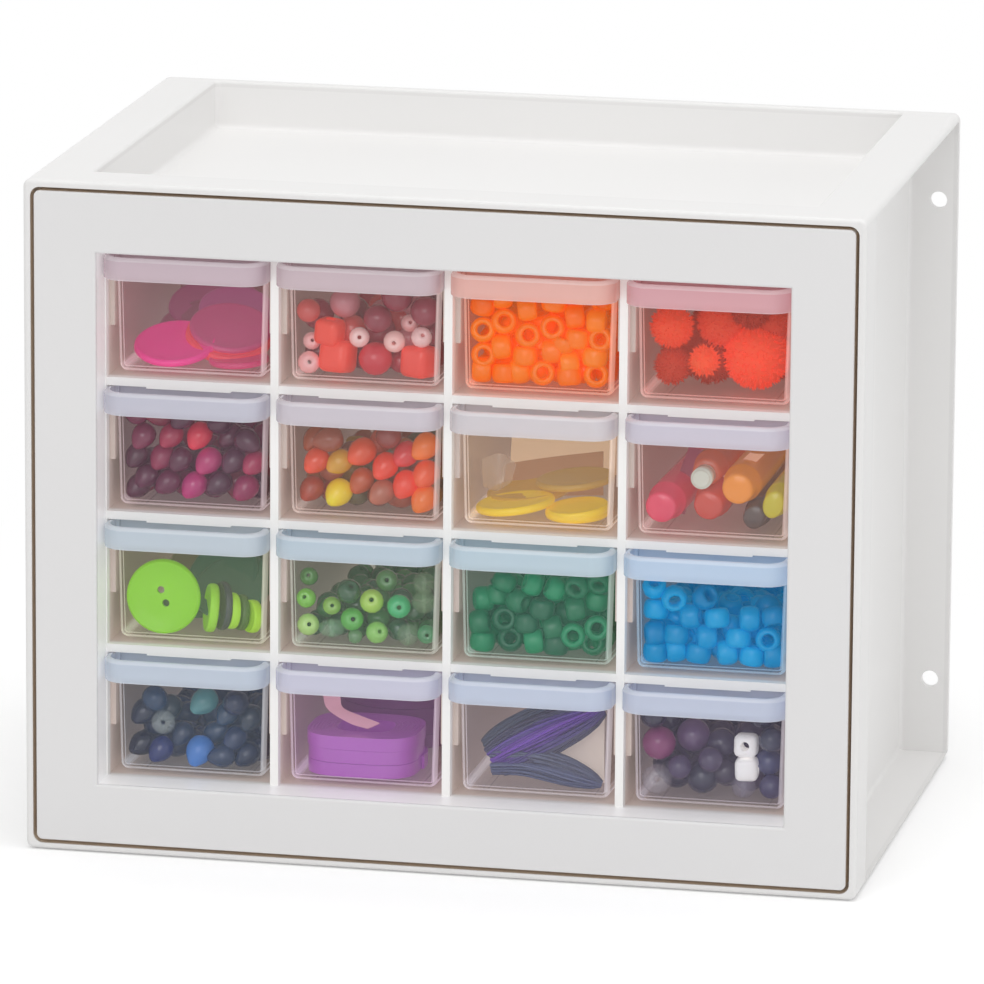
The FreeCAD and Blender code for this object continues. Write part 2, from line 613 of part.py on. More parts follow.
# --- rear panel and screws ------------------------------------------------------------------
def rear_panel():
    """The plate that closes the back, tucked in above by tongues and screwed below."""
    half = CORE_INNER_X - PANEL_CLEARANCE
    z_span = (CASE_WALL + PANEL_CLEARANCE, TRAY_UNDERSIDE_Z - PANEL_CLEARANCE)
    pieces = [block((-half, half), (PANEL_FRONT_Y, PANEL_BACK_Y), z_span)]
    for column in range(COLUMNS):
        x = column_centre(column)
        x_span = (x - PANEL_TONGUE_WIDTH / 2, x + PANEL_TONGUE_WIDTH / 2)
        y_span = (PANEL_FRONT_Y - PANEL_TONGUE_LENGTH, PANEL_FRONT_Y)
        pieces.append(block(x_span, y_span, (HOUSING_HIGH_Z + PANEL_CLEARANCE, z_span[1])))
    radius = SCREW_SHANK_DIAMETER / 2 + SCREW_HOLE_CLEARANCE
    back = FreeCAD.Vector(0, 1, 0)
    starts = [FreeCAD.Vector(x, PANEL_FRONT_Y - PANEL_THICKNESS, SCREW_Z) for x in screw_places()]
    holes = [Part.makeCylinder(radius, 3 * PANEL_THICKNESS, start, back) for start in starts]
    return join(pieces).cut(holes)


def panel_screw(x):
    """One pan-head screw with a crossed slot, its head on the rear panel."""
    forward = FreeCAD.Vector(0, -1, 0)
    head_y = PANEL_BACK_Y + SCREW_HEAD_HEIGHT
    top = FreeCAD.Vector(x, head_y, SCREW_Z)
    head = Part.makeCylinder(SCREW_HEAD_DIAMETER / 2, SCREW_HEAD_HEIGHT, top, forward)
    head = head.makeFillet(SCREW_HEAD_RADIUS, edges_where(head, lambda edge, middle: near(middle.y, head_y)))
    shank_length = PANEL_THICKNESS + SCREW_GRIP
    seat = FreeCAD.Vector(x, PANEL_BACK_Y, SCREW_Z)
    shank = Part.makeCylinder(SCREW_SHANK_DIAMETER / 2, shank_length, seat, forward)
    tip_start = FreeCAD.Vector(x, PANEL_BACK_Y - shank_length, SCREW_Z)
    tip = Part.makeCone(SCREW_SHANK_DIAMETER / 2, SCREW_SHANK_DIAMETER / 8, SCREW_TIP, tip_start, forward)
    slots = []
    for half_x, half_z in (
        (SCREW_SLOT_LENGTH / 2, SCREW_SLOT_WIDTH / 2),
        (SCREW_SLOT_WIDTH / 2, SCREW_SLOT_LENGTH / 2),
    ):
        y_span = (head_y - SCREW_SLOT_DEPTH, head_y + SCREW_SLOT_DEPTH)
        slots.append(block((x - half_x, x + half_x), y_span, (SCREW_Z - half_z, SCREW_Z + half_z)))
    return join([head, shank, tip]).cut(slots)


def export(name, shape):
    """Write one sub-part and report its size."""
    box = shape.BoundBox
    print(
        f"{name}: solids {len(shape.Solids)} valid {shape.isValid()} volume {shape.Volume / 1000:.2f} cm3 "
        f"x {box.XMin:.2f}..{box.XMax:.2f} y {box.YMin:.2f}..{box.YMax:.2f} z {box.ZMin:.2f}..{box.ZMax:.2f}"
    )
    shape.exportStep(f"parts/{name}.step")


def build():
    """Make every sub-part and write it out."""
    os.makedirs("parts", exist_ok=True)
    export("outer_case", outer_case())
    export("front_bezel", front_bezel())
    export("drawer_housing", drawer_housing())
    for index, name in enumerate(("left", "centre", "right")):
        export(f"divider_{name}", divider(index))
    for row, name in enumerate(("upper", "middle", "lower")):
        export(f"shelf_{name}", shelf(row))
    export("rear_panel", rear_panel())
    export("rear_panel_screws", Part.makeCompound([panel_screw(x) for x in screw_places()]))
    for row in range(ROWS):
        for column in range(COLUMNS):
            export(f"drawer_row{row + 1}_col{column + 1}", drawer(column, row))
    print(f"drawer travel {DRAWER_TRAVEL:.2f} column pitch {COLUMN_PITCH:.3f} row pitch {ROW_PITCH:.3f}")


build()
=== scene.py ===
"""A craft drawer cabinet: its finishes, clear drawers and their contents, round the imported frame. Metres."""

from __future__ import annotations

import logging
import math
from collections.abc import Iterator
from dataclasses import dataclass
from enum import Enum

import bmesh
import bpy
import numpy as np
from mathutils import Euler, Matrix, Vector


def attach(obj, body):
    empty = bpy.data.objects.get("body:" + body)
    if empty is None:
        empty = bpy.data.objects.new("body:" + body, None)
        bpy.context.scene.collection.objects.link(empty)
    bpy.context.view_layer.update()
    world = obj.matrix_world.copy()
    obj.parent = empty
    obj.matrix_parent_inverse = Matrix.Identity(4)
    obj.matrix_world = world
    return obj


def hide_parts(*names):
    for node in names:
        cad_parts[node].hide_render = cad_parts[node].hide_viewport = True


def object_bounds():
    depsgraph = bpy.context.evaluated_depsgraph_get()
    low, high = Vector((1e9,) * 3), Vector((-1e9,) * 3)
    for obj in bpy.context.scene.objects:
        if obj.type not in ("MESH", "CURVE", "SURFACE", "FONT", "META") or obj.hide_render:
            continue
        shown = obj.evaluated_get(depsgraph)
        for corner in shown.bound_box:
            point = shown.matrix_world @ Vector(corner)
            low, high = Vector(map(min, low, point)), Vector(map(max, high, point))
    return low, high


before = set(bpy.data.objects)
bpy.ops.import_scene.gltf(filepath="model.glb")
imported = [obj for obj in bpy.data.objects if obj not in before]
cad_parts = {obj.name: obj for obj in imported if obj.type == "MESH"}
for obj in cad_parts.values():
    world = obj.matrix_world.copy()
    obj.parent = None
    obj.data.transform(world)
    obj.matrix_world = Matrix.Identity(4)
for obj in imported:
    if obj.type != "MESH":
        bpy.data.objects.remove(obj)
CAD_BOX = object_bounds()
LOG = logging.getLogger("drawer_cabinet")

MM = 0.001
COLUMNS = 4
ROWS = 4
# In millimetres: from one compartment to the next, and the height of the lowest compartments' floor.
COLUMN_PITCH = 55.175
ROW_PITCH = 42.9
FIRST_FLOOR = 22.2
# The middle of the case's front frame above the ground, in metres.
FRAME_MIDDLE_Z = 107.5 * MM
# A radius under this, in millimetres, is a point on the axis.
ON_AXIS = 1e-6

Point = tuple[float, float, float]
Colour = tuple[float, float, float]


def srgb(code: str) -> Colour:
    """Turn a colour code of six hexadecimal digits into linear red, green and blue."""
    parts = [int(code[i : i + 2], 16) / 255 for i in (0, 2, 4)]
    return tuple(p / 12.92 if p <= 0.04045 else ((p + 0.055) / 1.055) ** 2.4 for p in parts)


def lighten(colour: Colour, share: float) -> Colour:
    """Mix a share of white into a colour."""
    return tuple(share + (1.0 - share) * part for part in colour)


def drawer_body(row: int, column: int) -> str:
    """Name the moving body of the drawer in this row and column."""
    return f"drawer_r{row}c{column}"


def compartment_corner(row: int, column: int) -> np.ndarray:
    """Find a compartment's middle at floor level on the front: across, back and up, in millimetres."""
    across = (column - 0.5 * (COLUMNS + 1)) * COLUMN_PITCH
    return np.array([across, CAD_BOX[0].y / MM, FIRST_FLOOR + (ROWS - row) * ROW_PITCH])


# --- node trees ---
class Pen:
    """Writes nodes into one tree; a keyword is an input's name with _ for a space, or n and its number."""

    def __init__(self, tree: bpy.types.NodeTree) -> None:
        """Take the tree and leave it as it is."""
        self.tree = tree

    def node(self, kind: str, traits: dict | None = None, **inputs: object) -> bpy.types.Node:
        """Add a node.

        Args:
            kind: the node's type name.
            traits: the node's own settings, such as its operation.
            **inputs: a value or an output socket for each named input.

        Returns:
            The node.
        """
        node = self.tree.nodes.new(kind)
        for name, value in (traits or {}).items():
            setattr(node, name, value)
        for name, value in inputs.items():
            key = int(name[1:]) if name[:1] == "n" and name[1:].isdigit() else name.replace("_", " ")
            self.feed(node.inputs[key], value)
        return node

    def math(self, operation: str, *values: object, clamp: bool = False) -> bpy.types.NodeSocket:
        """Add a Math node.

        Args:
            operation: what it does.
            *values: its operands, numbers or output sockets.
            clamp: whether the result stays between 0 and 1.

        Returns:
            The result.
        """
        node = self.node("ShaderNodeMath", {"operation": operation, "use_clamp": clamp})
        for socket, value in zip(node.inputs, values):
            self.feed(socket, value)
        return node.outputs[0]

    def vector(self, operation: str, *values: object) -> bpy.types.NodeSocket:
        """Add a Vector Math node.

        Args:
            operation: what it does.
            *values: its operands, vectors or output sockets.

        Returns:
            The resulting vector.
        """
        node = self.node("ShaderNodeVectorMath", {"operation": operation})
        for socket, value in zip(node.inputs, values):
            self.feed(socket, value)
        return node.outputs[0]

    def mix(self, share: object, first: object, second: object, blend: str = "MIX") -> bpy.types.NodeSocket:
        """Add a mix of two colours.

        Args:
            share: how much of the second one counts.
            first: a colour or an output socket.
            second: a colour or an output socket.
            blend: how the second one is laid over the first.

        Returns:
            The mixed colour.
        """
        node = self.node("ShaderNodeMix", {"data_type": "RGBA", "blend_type": blend}, n0=share)
        self.feed(node.inputs[6], first)
        self.feed(node.inputs[7], second)
        return node.outputs[2]

    def feed(self, socket: bpy.types.NodeSocket, value: object) -> None:
        """Link an output socket to this input, or set the input's own value.

        Args:
            socket: the input.
            value: an output socket, a number, a colour, a vector, a text or an object.
        """
        if isinstance(value, bpy.types.NodeSocket):
            self.tree.links.new(value, socket)
        elif isinstance(value, tuple) and socket.type == "RGBA":
            socket.default_value = (*value[:3], 1.0)
        else:
            socket.default_value = value


def start_tree(
    name: str, family: str, inputs: dict[str, tuple[str, object]], outputs: dict[str, str]
) -> tuple[Pen, bpy.types.NodeOutputs]:
    """Start a node group with its named sockets.

    Args:
        name: the group's name.
        family: Shader or Geometry.
        inputs: name to (socket kind, default value or None).
        outputs: name to socket kind.

    Returns:
        The group's pen, and the outputs of its input node.
    """
    tree = bpy.data.node_groups.new(name, family + "NodeTree")
    for label, (kind, value) in inputs.items():
        socket = tree.interface.new_socket(name=label, in_out="INPUT", socket_type="NodeSocket" + kind)
        if value is not None:
            socket.default_value = value
    for label, kind in outputs.items():
        tree.interface.new_socket(name=label, in_out="OUTPUT", socket_type="NodeSocket" + kind)
    pen = Pen(tree)
    return pen, pen.node("NodeGroupInput").outputs


class ShaderGroups:
    """The effects that several finishes share, each built once."""

    broad_scale: float = 22.0

    def __init__(self) -> None:
        """Build every group."""
        self.grain = self.build_grain()
        self.mottle = self.build_mottle()
        self.recess = self.build_painted_recess_light()
        self.groove = self.build_painted_groove_shade()

    def build_grain(self) -> bpy.types.NodeTree:
        """Build the fine surface texture of a moulded part.

        Returns:
            A group with a height for Bump and a slightly varied roughness.
        """
        pen, given = start_tree(
            "moulded_grain",
            "Shader",
            {
                "Scale": ("Float", 900.0),
                "Depth": ("Float", 0.5),
                "Roughness": ("Float", 0.4),
                "Spread": ("Float", 0.08),
            },
            {"Height": "Float", "Roughness": "Float"},
        )
        place = pen.node("ShaderNodeTexCoord").outputs["Object"]
        fine = pen.node("ShaderNodeTexNoise", Vector=place, Scale=given["Scale"], Detail=1.0).outputs["Fac"]
        height = pen.math("MULTIPLY", fine, given["Depth"])
        broad = pen.node("ShaderNodeTexNoise", Vector=place, Scale=self.broad_scale, Detail=0.0)
        centred = pen.math("SUBTRACT", broad.outputs["Fac"], 0.5)
        rough = pen.math("MULTIPLY_ADD", centred, given["Spread"], given["Roughness"])
        pen.node("NodeGroupOutput", Height=height, Roughness=rough)
        return pen.tree

    def build_mottle(self) -> bpy.types.NodeTree:
        """Build a faint, slow change of tone over a surface.

        Returns:
            A group that turns a colour into a slightly uneven one.
        """
        pen, given = start_tree(
            "tone_mottle",
            "Shader",
            {
                "Color": ("Color", None),
                "Second": ("Color", None),
                "Scale": ("Float", 8.0),
                "Amount": ("Float", 0.3),
            },
            {"Color": "Color"},
        )
        place = pen.node("ShaderNodeTexCoord").outputs["Object"]
        cloud = pen.node("ShaderNodeTexNoise", Vector=place, Scale=given["Scale"], Detail=1.0).outputs["Fac"]
        share = pen.math("MULTIPLY", cloud, given["Amount"])
        pen.node("NodeGroupOutput", Color=pen.mix(share, given["Color"], given["Second"]))
        return pen.tree

    def build_painted_recess_light(self) -> bpy.types.NodeTree:
        """Build the painted shade and painted glow of the thin white plastic behind the front: a darker tone
        for shade, and an emission for the light that comes through it.

        Returns:
            A group that turns a colour into its painted shade and its painted glow, behind a given depth and
            inside a box.
        """
        pen, given = start_tree(
            "recess_tone",
            "Shader",
            {
                "Color": ("Color", None),
                "Shade": ("Color", None),
                "Limit": ("Float", 0.0),
                "Ramp": ("Float", 1.0),
                "Front": ("Float", 0.0),
                "Middle": ("Vector", None),
                "Half Size": ("Vector", None),
            },
            {"Color": "Color", "Glow": "Color"},
        )
        place = pen.node("ShaderNodeTexCoord").outputs["Object"]
        depth = pen.node("ShaderNodeSeparateXYZ", n0=place).outputs["Y"]
        behind = pen.math("DIVIDE", pen.math("SUBTRACT", depth, given["Limit"]), given["Ramp"], clamp=True)
        within = pen.math("LESS_THAN", self.box_reach(pen, place, given["Middle"], given["Half Size"]), 1.0)
        mask = pen.math("MULTIPLY", behind, within)
        # Painted shade past the depth, then a painted glow in the shaded colour.
        toned = pen.mix(mask, given["Color"], given["Shade"], "MULTIPLY")
        share = pen.math("MAXIMUM", mask, given["Front"])
        pen.node("NodeGroupOutput", Color=toned, Glow=pen.mix(share, (0.0, 0.0, 0.0), toned))
        return pen.tree

    def build_painted_groove_shade(self) -> bpy.types.NodeTree:
        """Build the painted brown shade of the narrow groove round the bezel.

        Returns:
            A group that darkens a colour with painted shade inside one box and outside a narrower one.
        """
        pen, given = start_tree(
            "groove_tone",
            "Shader",
            {
                "Color": ("Color", None),
                "Shade": ("Color", None),
                "Middle": ("Vector", None),
                "Inner Half": ("Vector", None),
                "Outer Half": ("Vector", None),
            },
            {"Color": "Color"},
        )
        place = pen.node("ShaderNodeTexCoord").outputs["Object"]
        inner, outer = (
            self.box_reach(pen, place, given["Middle"], given[half]) for half in ("Inner Half", "Outer Half")
        )
        mask = pen.math("MULTIPLY", pen.math("GREATER_THAN", inner, 1.0), pen.math("LESS_THAN", outer, 1.0))
        pen.node("NodeGroupOutput", Color=pen.mix(mask, given["Color"], given["Shade"], "MULTIPLY"))
        return pen.tree

    def box_reach(
        self, pen: Pen, place: bpy.types.NodeSocket, middle: bpy.types.NodeSocket, half: bpy.types.NodeSocket
    ) -> bpy.types.NodeSocket:
        """Measure how far a place lies from a box's middle; 1 is the box's surface.

        Args:
            pen: the group's pen.
            place: the place.
            middle: the box's middle.
            half: half of the box's size.

        Returns:
            The distance.
        """
        shares = pen.vector("ABSOLUTE", pen.vector("DIVIDE", pen.vector("SUBTRACT", place, middle), half))
        parts = pen.node("ShaderNodeSeparateXYZ", n0=shares).outputs
        return pen.math("MAXIMUM", pen.math("MAXIMUM", parts[0], parts[2]), parts[1])


@dataclass(frozen=True)
class PaintedRecessLight:
    """Where thin white plastic gets a painted shade and a painted glow: past a depth, inside a box."""

    depth: float
    ramp: float = 0.8 * MM
    shade: str = "ffffff"
    front_glow: float = 0.0
    middle: Point = (0.0, 0.0, 0.0)
    half: Point = (1.0, 1.0, 1.0)

    def lay(self, pen: Pen, groups: ShaderGroups, colour: bpy.types.NodeSocket) -> bpy.types.Node:
        """Lay the painted shade and glow over a colour.

        Args:
            pen: the material's pen.
            groups: the shared shader groups.
            colour: the colour so far.

        Returns:
            The node with the shaded colour and the painted glow.
        """
        return pen.node(
            "ShaderNodeGroup",
            {"node_tree": groups.recess},
            Color=colour,
            Limit=CAD_BOX[0].y + self.depth,
            Ramp=self.ramp,
            Shade=srgb(self.shade),
            Front=self.front_glow,
            Middle=self.middle,
            Half_Size=self.half,
        )


@dataclass(frozen=True)
class PaintedGrooveShade:
    """A painted brown shade in the narrow groove round the bezel, between the case's rim and the bezel's edge.
    """

    shade: str = "f4e4d0"
    rim_half_width: float = 130.5 * MM
    rim_half_height: float = 105.5 * MM
    width: float = 1.6 * MM
    front: float = 0.6 * MM
    back: float = 12.0 * MM

    def lay(self, pen: Pen, groups: ShaderGroups, colour: bpy.types.NodeSocket) -> bpy.types.NodeSocket:
        """Lay the groove's painted shade over a colour.

        Args:
            pen: the material's pen.
            groups: the shared shader groups.
            colour: the colour so far.

        Returns:
            The new colour.
        """
        half_depth = (self.back - self.front) / 2
        shaded = pen.node(
            "ShaderNodeGroup",
            {"node_tree": groups.groove},
            Color=colour,
            Shade=srgb(self.shade),
            Middle=(0.0, CAD_BOX[0].y + self.front + half_depth, FRAME_MIDDLE_Z),
            Inner_Half=(self.rim_half_width - self.width, 1.0, self.rim_half_height - self.width),
            Outer_Half=(self.rim_half_width, half_depth, self.rim_half_height),
        )
        return shaded.outputs["Color"]


@dataclass(frozen=True)
class MouldedFinish:
    """A moulded plastic: its colour or its paint attribute, gloss, grain, how clear it is, and its painted
    light: a glow, a highlight at a drop's tip, and the shade of the groove and the recess.
    """

    name: str
    colour: str
    second: str
    roughness: float = 0.4
    grain_scale: float = 900.0
    grain_depth: float = 0.4
    bump: float = 0.08
    alpha: float = 1.0
    coat: float = 0.0
    metallic: float = 0.0
    mottle_scale: float = 9.0
    mottle: float = 0.5
    painted: bool = False
    # The tip fields paint a highlight that lightens a drop towards its tip.
    tip: float = 0.0
    tip_highlight_colour: str = "b8aaa8"
    tip_focus: float = 2.0
    bump_height: float = 0.5 * MM
    # Painted light: the surface emits its own colour at this strength, as if more light reached it.
    glow: float = 0.0
    recess: PaintedRecessLight | None = None
    groove: PaintedGrooveShade | None = None

    def build(self, groups: ShaderGroups) -> bpy.types.Material:
        """Make the material.

        Args:
            groups: the shared shader groups.

        Returns:
            The finished material.
        """
        material = bpy.data.materials.new(self.name)
        material.use_nodes = True
        material.node_tree.nodes.clear()
        pen = Pen(material.node_tree)
        grain = pen.node(
            "ShaderNodeGroup",
            {"node_tree": groups.grain},
            Scale=self.grain_scale,
            Depth=self.grain_depth,
            Roughness=self.roughness,
        )
        tone = pen.node(
            "ShaderNodeGroup",
            {"node_tree": groups.mottle},
            Color=srgb(self.colour),
            Second=srgb(self.second),
            Scale=self.mottle_scale,
            Amount=self.mottle,
        )
        colour = tone.outputs["Color"]
        if self.painted:
            paint = pen.node("ShaderNodeAttribute", {"attribute_name": "paint"}).outputs["Color"]
            colour = pen.mix(1.0, paint, colour, "MULTIPLY")
        # Painted light: a highlight at a drop's tip, shade in the groove, and shade and glow in the recess.
        if self.tip:
            colour = self.paint_tip_highlight(pen, colour)
        if self.groove:
            colour = self.groove.lay(pen, groups, colour)
        glow = colour
        if self.recess:
            behind = self.recess.lay(pen, groups, colour)
            colour, glow = behind.outputs["Color"], behind.outputs["Glow"]
        bump = pen.node(
            "ShaderNodeBump",
            Strength=self.bump,
            Distance=self.bump_height,
            Height=grain.outputs["Height"],
        )
        surface = pen.node(
            "ShaderNodeBsdfPrincipled",
            Base_Color=colour,
            Roughness=grain.outputs["Roughness"],
            Metallic=self.metallic,
            Alpha=self.alpha,
            Coat_Weight=self.coat,
            Emission_Color=glow,
            Emission_Strength=self.glow,
            Normal=bump.outputs["Normal"],
        )
        pen.node("ShaderNodeOutputMaterial", Surface=surface.outputs[0])
        return material

    def paint_tip_highlight(self, pen: Pen, colour: bpy.types.NodeSocket) -> bpy.types.NodeSocket:
        """Paint a highlight that makes the colour hotter and lighter towards a drop's tip, where the mesh
        marks one.

        Args:
            pen: the material's pen.
            colour: the colour so far.

        Returns:
            The new colour.
        """
        nearness = pen.node("ShaderNodeAttribute", {"attribute_name": "tip"}).outputs["Fac"]
        share = pen.math("MULTIPLY", pen.math("POWER", nearness, self.tip_focus), self.tip)
        return pen.mix(share, colour, srgb(self.tip_highlight_colour), "DODGE")


# --- the room ---
@dataclass(frozen=True)
class SoftLamp:
    """A large soft lamp."""

    name: str
    place: Point
    size: float
    power: float

    def build(self, target: Vector) -> bpy.types.Object:
        """Hang the lamp so that it points at the target.

        Args:
            target: the point that it lights.

        Returns:
            The lamp.
        """
        data = bpy.data.lights.new(self.name, "AREA")
        data.shape = "DISK"
        data.size = self.size
        data.energy = self.power
        lamp = bpy.data.objects.new(self.name, data)
        bpy.context.scene.collection.objects.link(lamp)
        lamp.location = self.place
        lamp.rotation_euler = (target - Vector(self.place)).to_track_quat("-Z", "Y").to_euler()
        return lamp


@dataclass
class Room:
    """The pale floor, the soft lamps, the white surround and the camera."""

    lens_mm: float = 320.44
    sensor_mm: float = 36.0
    azimuth_deg: float = 11.994
    elevation_deg: float = 13.261
    roll_deg: float = 0.403
    camera_place: Point = (0.562898, -2.660062, 0.743218)
    view_end: float = 50.0
    lit_height: float = 0.11
    floor_radius: float = 6.0
    floor_sides: int = 96
    floor_tone: float = 0.86
    floor_lift: float = 0.2
    shadow_near: float = 0.16
    shadow_far: float = 0.42
    world_strength: float = 0.62
    clear_bounces: int = 40
    soft_bounces: int = 8
    lamps: tuple[SoftLamp, ...] = (
        SoftLamp("lamp_key", (0.0, -2.3, 1.05), 1.6, 12.5),
        SoftLamp("lamp_top", (0.15, -0.2, 2.2), 1.6, 16.5),
        SoftLamp("lamp_side", (2.3, -0.4, 0.45), 1.5, 7.0),
    )

    def build(self) -> None:
        """Make everything that is not the cabinet."""
        self.build_camera()
        middle = Vector((0.0, 0.0, self.lit_height))
        for lamp in self.lamps:
            lamp.build(middle)
        self.build_world()
        self.build_floor()
        scene = bpy.context.scene
        scene.view_settings.view_transform = "Standard"
        scene.cycles.transparent_max_bounces = self.clear_bounces
        scene.cycles.diffuse_bounces = self.soft_bounces
        scene.cycles.use_denoising = True

    def build_camera(self) -> None:
        """Place the camera, level except for its small roll."""
        az, el, roll = (math.radians(v) for v in (self.azimuth_deg, self.elevation_deg, self.roll_deg))
        ahead = Vector((-math.sin(az) * math.cos(el), math.cos(az) * math.cos(el), -math.sin(el)))
        right = Vector((math.cos(az), math.sin(az), 0.0))
        up = right.cross(ahead)
        turned = math.cos(roll) * right + math.sin(roll) * up
        lifted = -math.sin(roll) * right + math.cos(roll) * up
        data = bpy.data.cameras.new("studio_camera")
        data.lens = self.lens_mm
        data.sensor_width = self.sensor_mm
        data.clip_end = self.view_end
        camera = bpy.data.objects.new("studio_camera", data)
        bpy.context.scene.collection.objects.link(camera)
        matrix = Matrix((turned, lifted, -ahead)).transposed().to_4x4()
        matrix.translation = self.camera_place
        camera.matrix_world = matrix
        bpy.context.scene.camera = camera

    def white_for_eye(self, pen: Pen) -> bpy.types.NodeSocket:
        """Add the mask of rays that see the surround as plain white.

        Args:
            pen: the pen of the material or the world.

        Returns:
            The mask.
        """
        rays = pen.node("ShaderNodeLightPath").outputs
        mirrored = pen.math("MAXIMUM", rays["Is Glossy Ray"], rays["Is Transmission Ray"])
        return pen.math("MAXIMUM", rays["Is Camera Ray"], mirrored)

    def build_world(self) -> None:
        """Light the room evenly, and show plain white behind the cabinet."""
        world = bpy.data.worlds.new("studio")
        bpy.context.scene.world = world
        world.use_nodes = True
        world.node_tree.nodes.clear()
        pen = Pen(world.node_tree)
        mask = self.white_for_eye(pen)
        dim = pen.node("ShaderNodeBackground", Color=(1.0, 1.0, 1.0), Strength=self.world_strength)
        white = pen.node("ShaderNodeBackground", Color=(1.0, 1.0, 1.0), Strength=1.0)
        mixed = pen.node("ShaderNodeMixShader", n0=mask, n1=dim.outputs[0], n2=white.outputs[0])
        pen.node("ShaderNodeOutputWorld", Surface=mixed.outputs[0])

    def build_floor(self) -> None:
        """Lay a round pale floor that keeps the shadow near the cabinet and turns plain white further out."""
        grid = bmesh.new()
        bmesh.ops.create_circle(grid, cap_ends=True, segments=self.floor_sides, radius=self.floor_radius)
        mesh = bpy.data.meshes.new("studio_floor")
        grid.to_mesh(mesh)
        grid.free()
        floor = bpy.data.objects.new("studio_floor", mesh)
        bpy.context.scene.collection.objects.link(floor)
        material = bpy.data.materials.new("studio_floor_paint")
        material.use_nodes = True
        material.node_tree.nodes.clear()
        pen = Pen(material.node_tree)
        place = pen.node("ShaderNodeTexCoord").outputs["Object"]
        reach = pen.node("ShaderNodeVectorMath", {"operation": "LENGTH"}, n0=place)
        fade = pen.node(
            "ShaderNodeMapRange",
            {"interpolation_type": "SMOOTHSTEP"},
            Value=reach.outputs["Value"],
            From_Min=self.shadow_near,
            From_Max=self.shadow_far,
        )
        mask = self.white_for_eye(pen)
        share = pen.math("MULTIPLY", fade.outputs[0], mask)
        paint = pen.node("ShaderNodeBsdfDiffuse", Color=(self.floor_tone,) * 3)
        lift = pen.math("MULTIPLY", mask, self.floor_lift)
        glow = pen.node("ShaderNodeEmission", Color=(1.0, 1.0, 1.0), Strength=lift)
        near = pen.node("ShaderNodeAddShader", n0=paint.outputs[0], n1=glow.outputs[0])
        white = pen.node("ShaderNodeEmission", Color=(1.0, 1.0, 1.0), Strength=1.0)
        mixed = pen.node("ShaderNodeMixShader", n0=share, n1=near.outputs[0], n2=white.outputs[0])
        pen.node("ShaderNodeOutputMaterial", Surface=mixed.outputs[0])
        mesh.materials.append(material)


# --- the cabinet ---
@dataclass
class WhiteParts:
    """The cabinet's own white mouldings and its screws, dressed where they stand."""

    outside: tuple[str, ...] = ("outer_case", "rear_panel")
    frame: tuple[str, ...] = ("front_bezel",)
    inside: tuple[str, ...] = (
        "drawer_housing",
        "divider_left",
        "divider_centre",
        "divider_right",
        "shelf_upper",
        "shelf_middle",
        "shelf_lower",
    )
    screws: str = "rear_panel_screws"
    groove: PaintedGrooveShade = PaintedGrooveShade()
    opening_middle_z: float = 107.45 * MM
    opening_half_width: float = 109.8 * MM
    opening_half_height: float = 85.6 * MM

    def case_finish(self) -> MouldedFinish:
        """Describe the case's white; inside the front's rim it has a painted glow from just behind the edge.

        Returns:
            The finish.
        """
        recess = PaintedRecessLight(1.5 * MM, middle=(0.0, 0.0, FRAME_MIDDLE_Z), half=(131.0 * MM, 1.0, 105.5 * MM))
        return MouldedFinish(
            "white_styrene", "e7e6e5", "dfdedd", roughness=0.36, glow=0.05, recess=recess,
            groove=self.groove,
        )

    def bezel_finish(self) -> MouldedFinish:
        """Describe the bezel's white; the returns of its opening have a painted glow.

        Returns:
            The finish.
        """
        half = (self.opening_half_width, 1.0, self.opening_half_height)
        recess = PaintedRecessLight(0.9 * MM, middle=(0.0, 0.0, self.opening_middle_z), half=half)
        return MouldedFinish(
            "white_bezel", "e2e1e1", "dbdada", roughness=0.36, glow=0.28, recess=recess,
            groove=self.groove,
        )

    def sleeve_finish(self) -> MouldedFinish:
        """Describe the white of the sleeve and its grid, with a painted glow, and painted shade that makes it
        browner and dimmer further in.

        Returns:
            The finish.
        """
        recess = PaintedRecessLight(14.0 * MM, ramp=2.5 * MM, shade="d2c4be", front_glow=0.4)
        return MouldedFinish("white_sleeve", "f2f1ef", "ebe9e6", roughness=0.45, glow=0.2, recess=recess)

    def dress(self, groups: ShaderGroups) -> None:
        """Give each white part and the screws their material.

        Args:
            groups: the shared shader groups.
        """
        white = self.case_finish().build(groups)
        sleeve = self.sleeve_finish().build(groups)
        bezel = self.bezel_finish().build(groups)
        steel = MouldedFinish(
            "zinc_steel", "b9bcc0", "8f9297", roughness=0.3, metallic=1.0, grain_scale=2400.0
        ).build(groups)
        pairs = ((self.outside, white), (self.frame, bezel), (self.inside, sleeve), ((self.screws,), steel))
        for names, material in pairs:
            for name in names:
                self.paint(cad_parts[name], material)
                LOG.info("dressed %s with %s", name, material.name)

    def paint(self, node: bpy.types.Object, material: bpy.types.Material) -> None:
        """Put one material in all of a node's slots.

        Args:
            node: the part.
            material: its material.
        """
        if not node.material_slots:
            node.data.materials.append(material)
        for slot in node.material_slots:
            slot.material = material


@dataclass(frozen=True)
class ContentsLightTint:
    """What a drawer holds, its contents' light painted as a tint on the hazy walls, and the thicker lip's
    colder tint, partly painted light.
    """

    holds: str
    walls: str
    lip: str


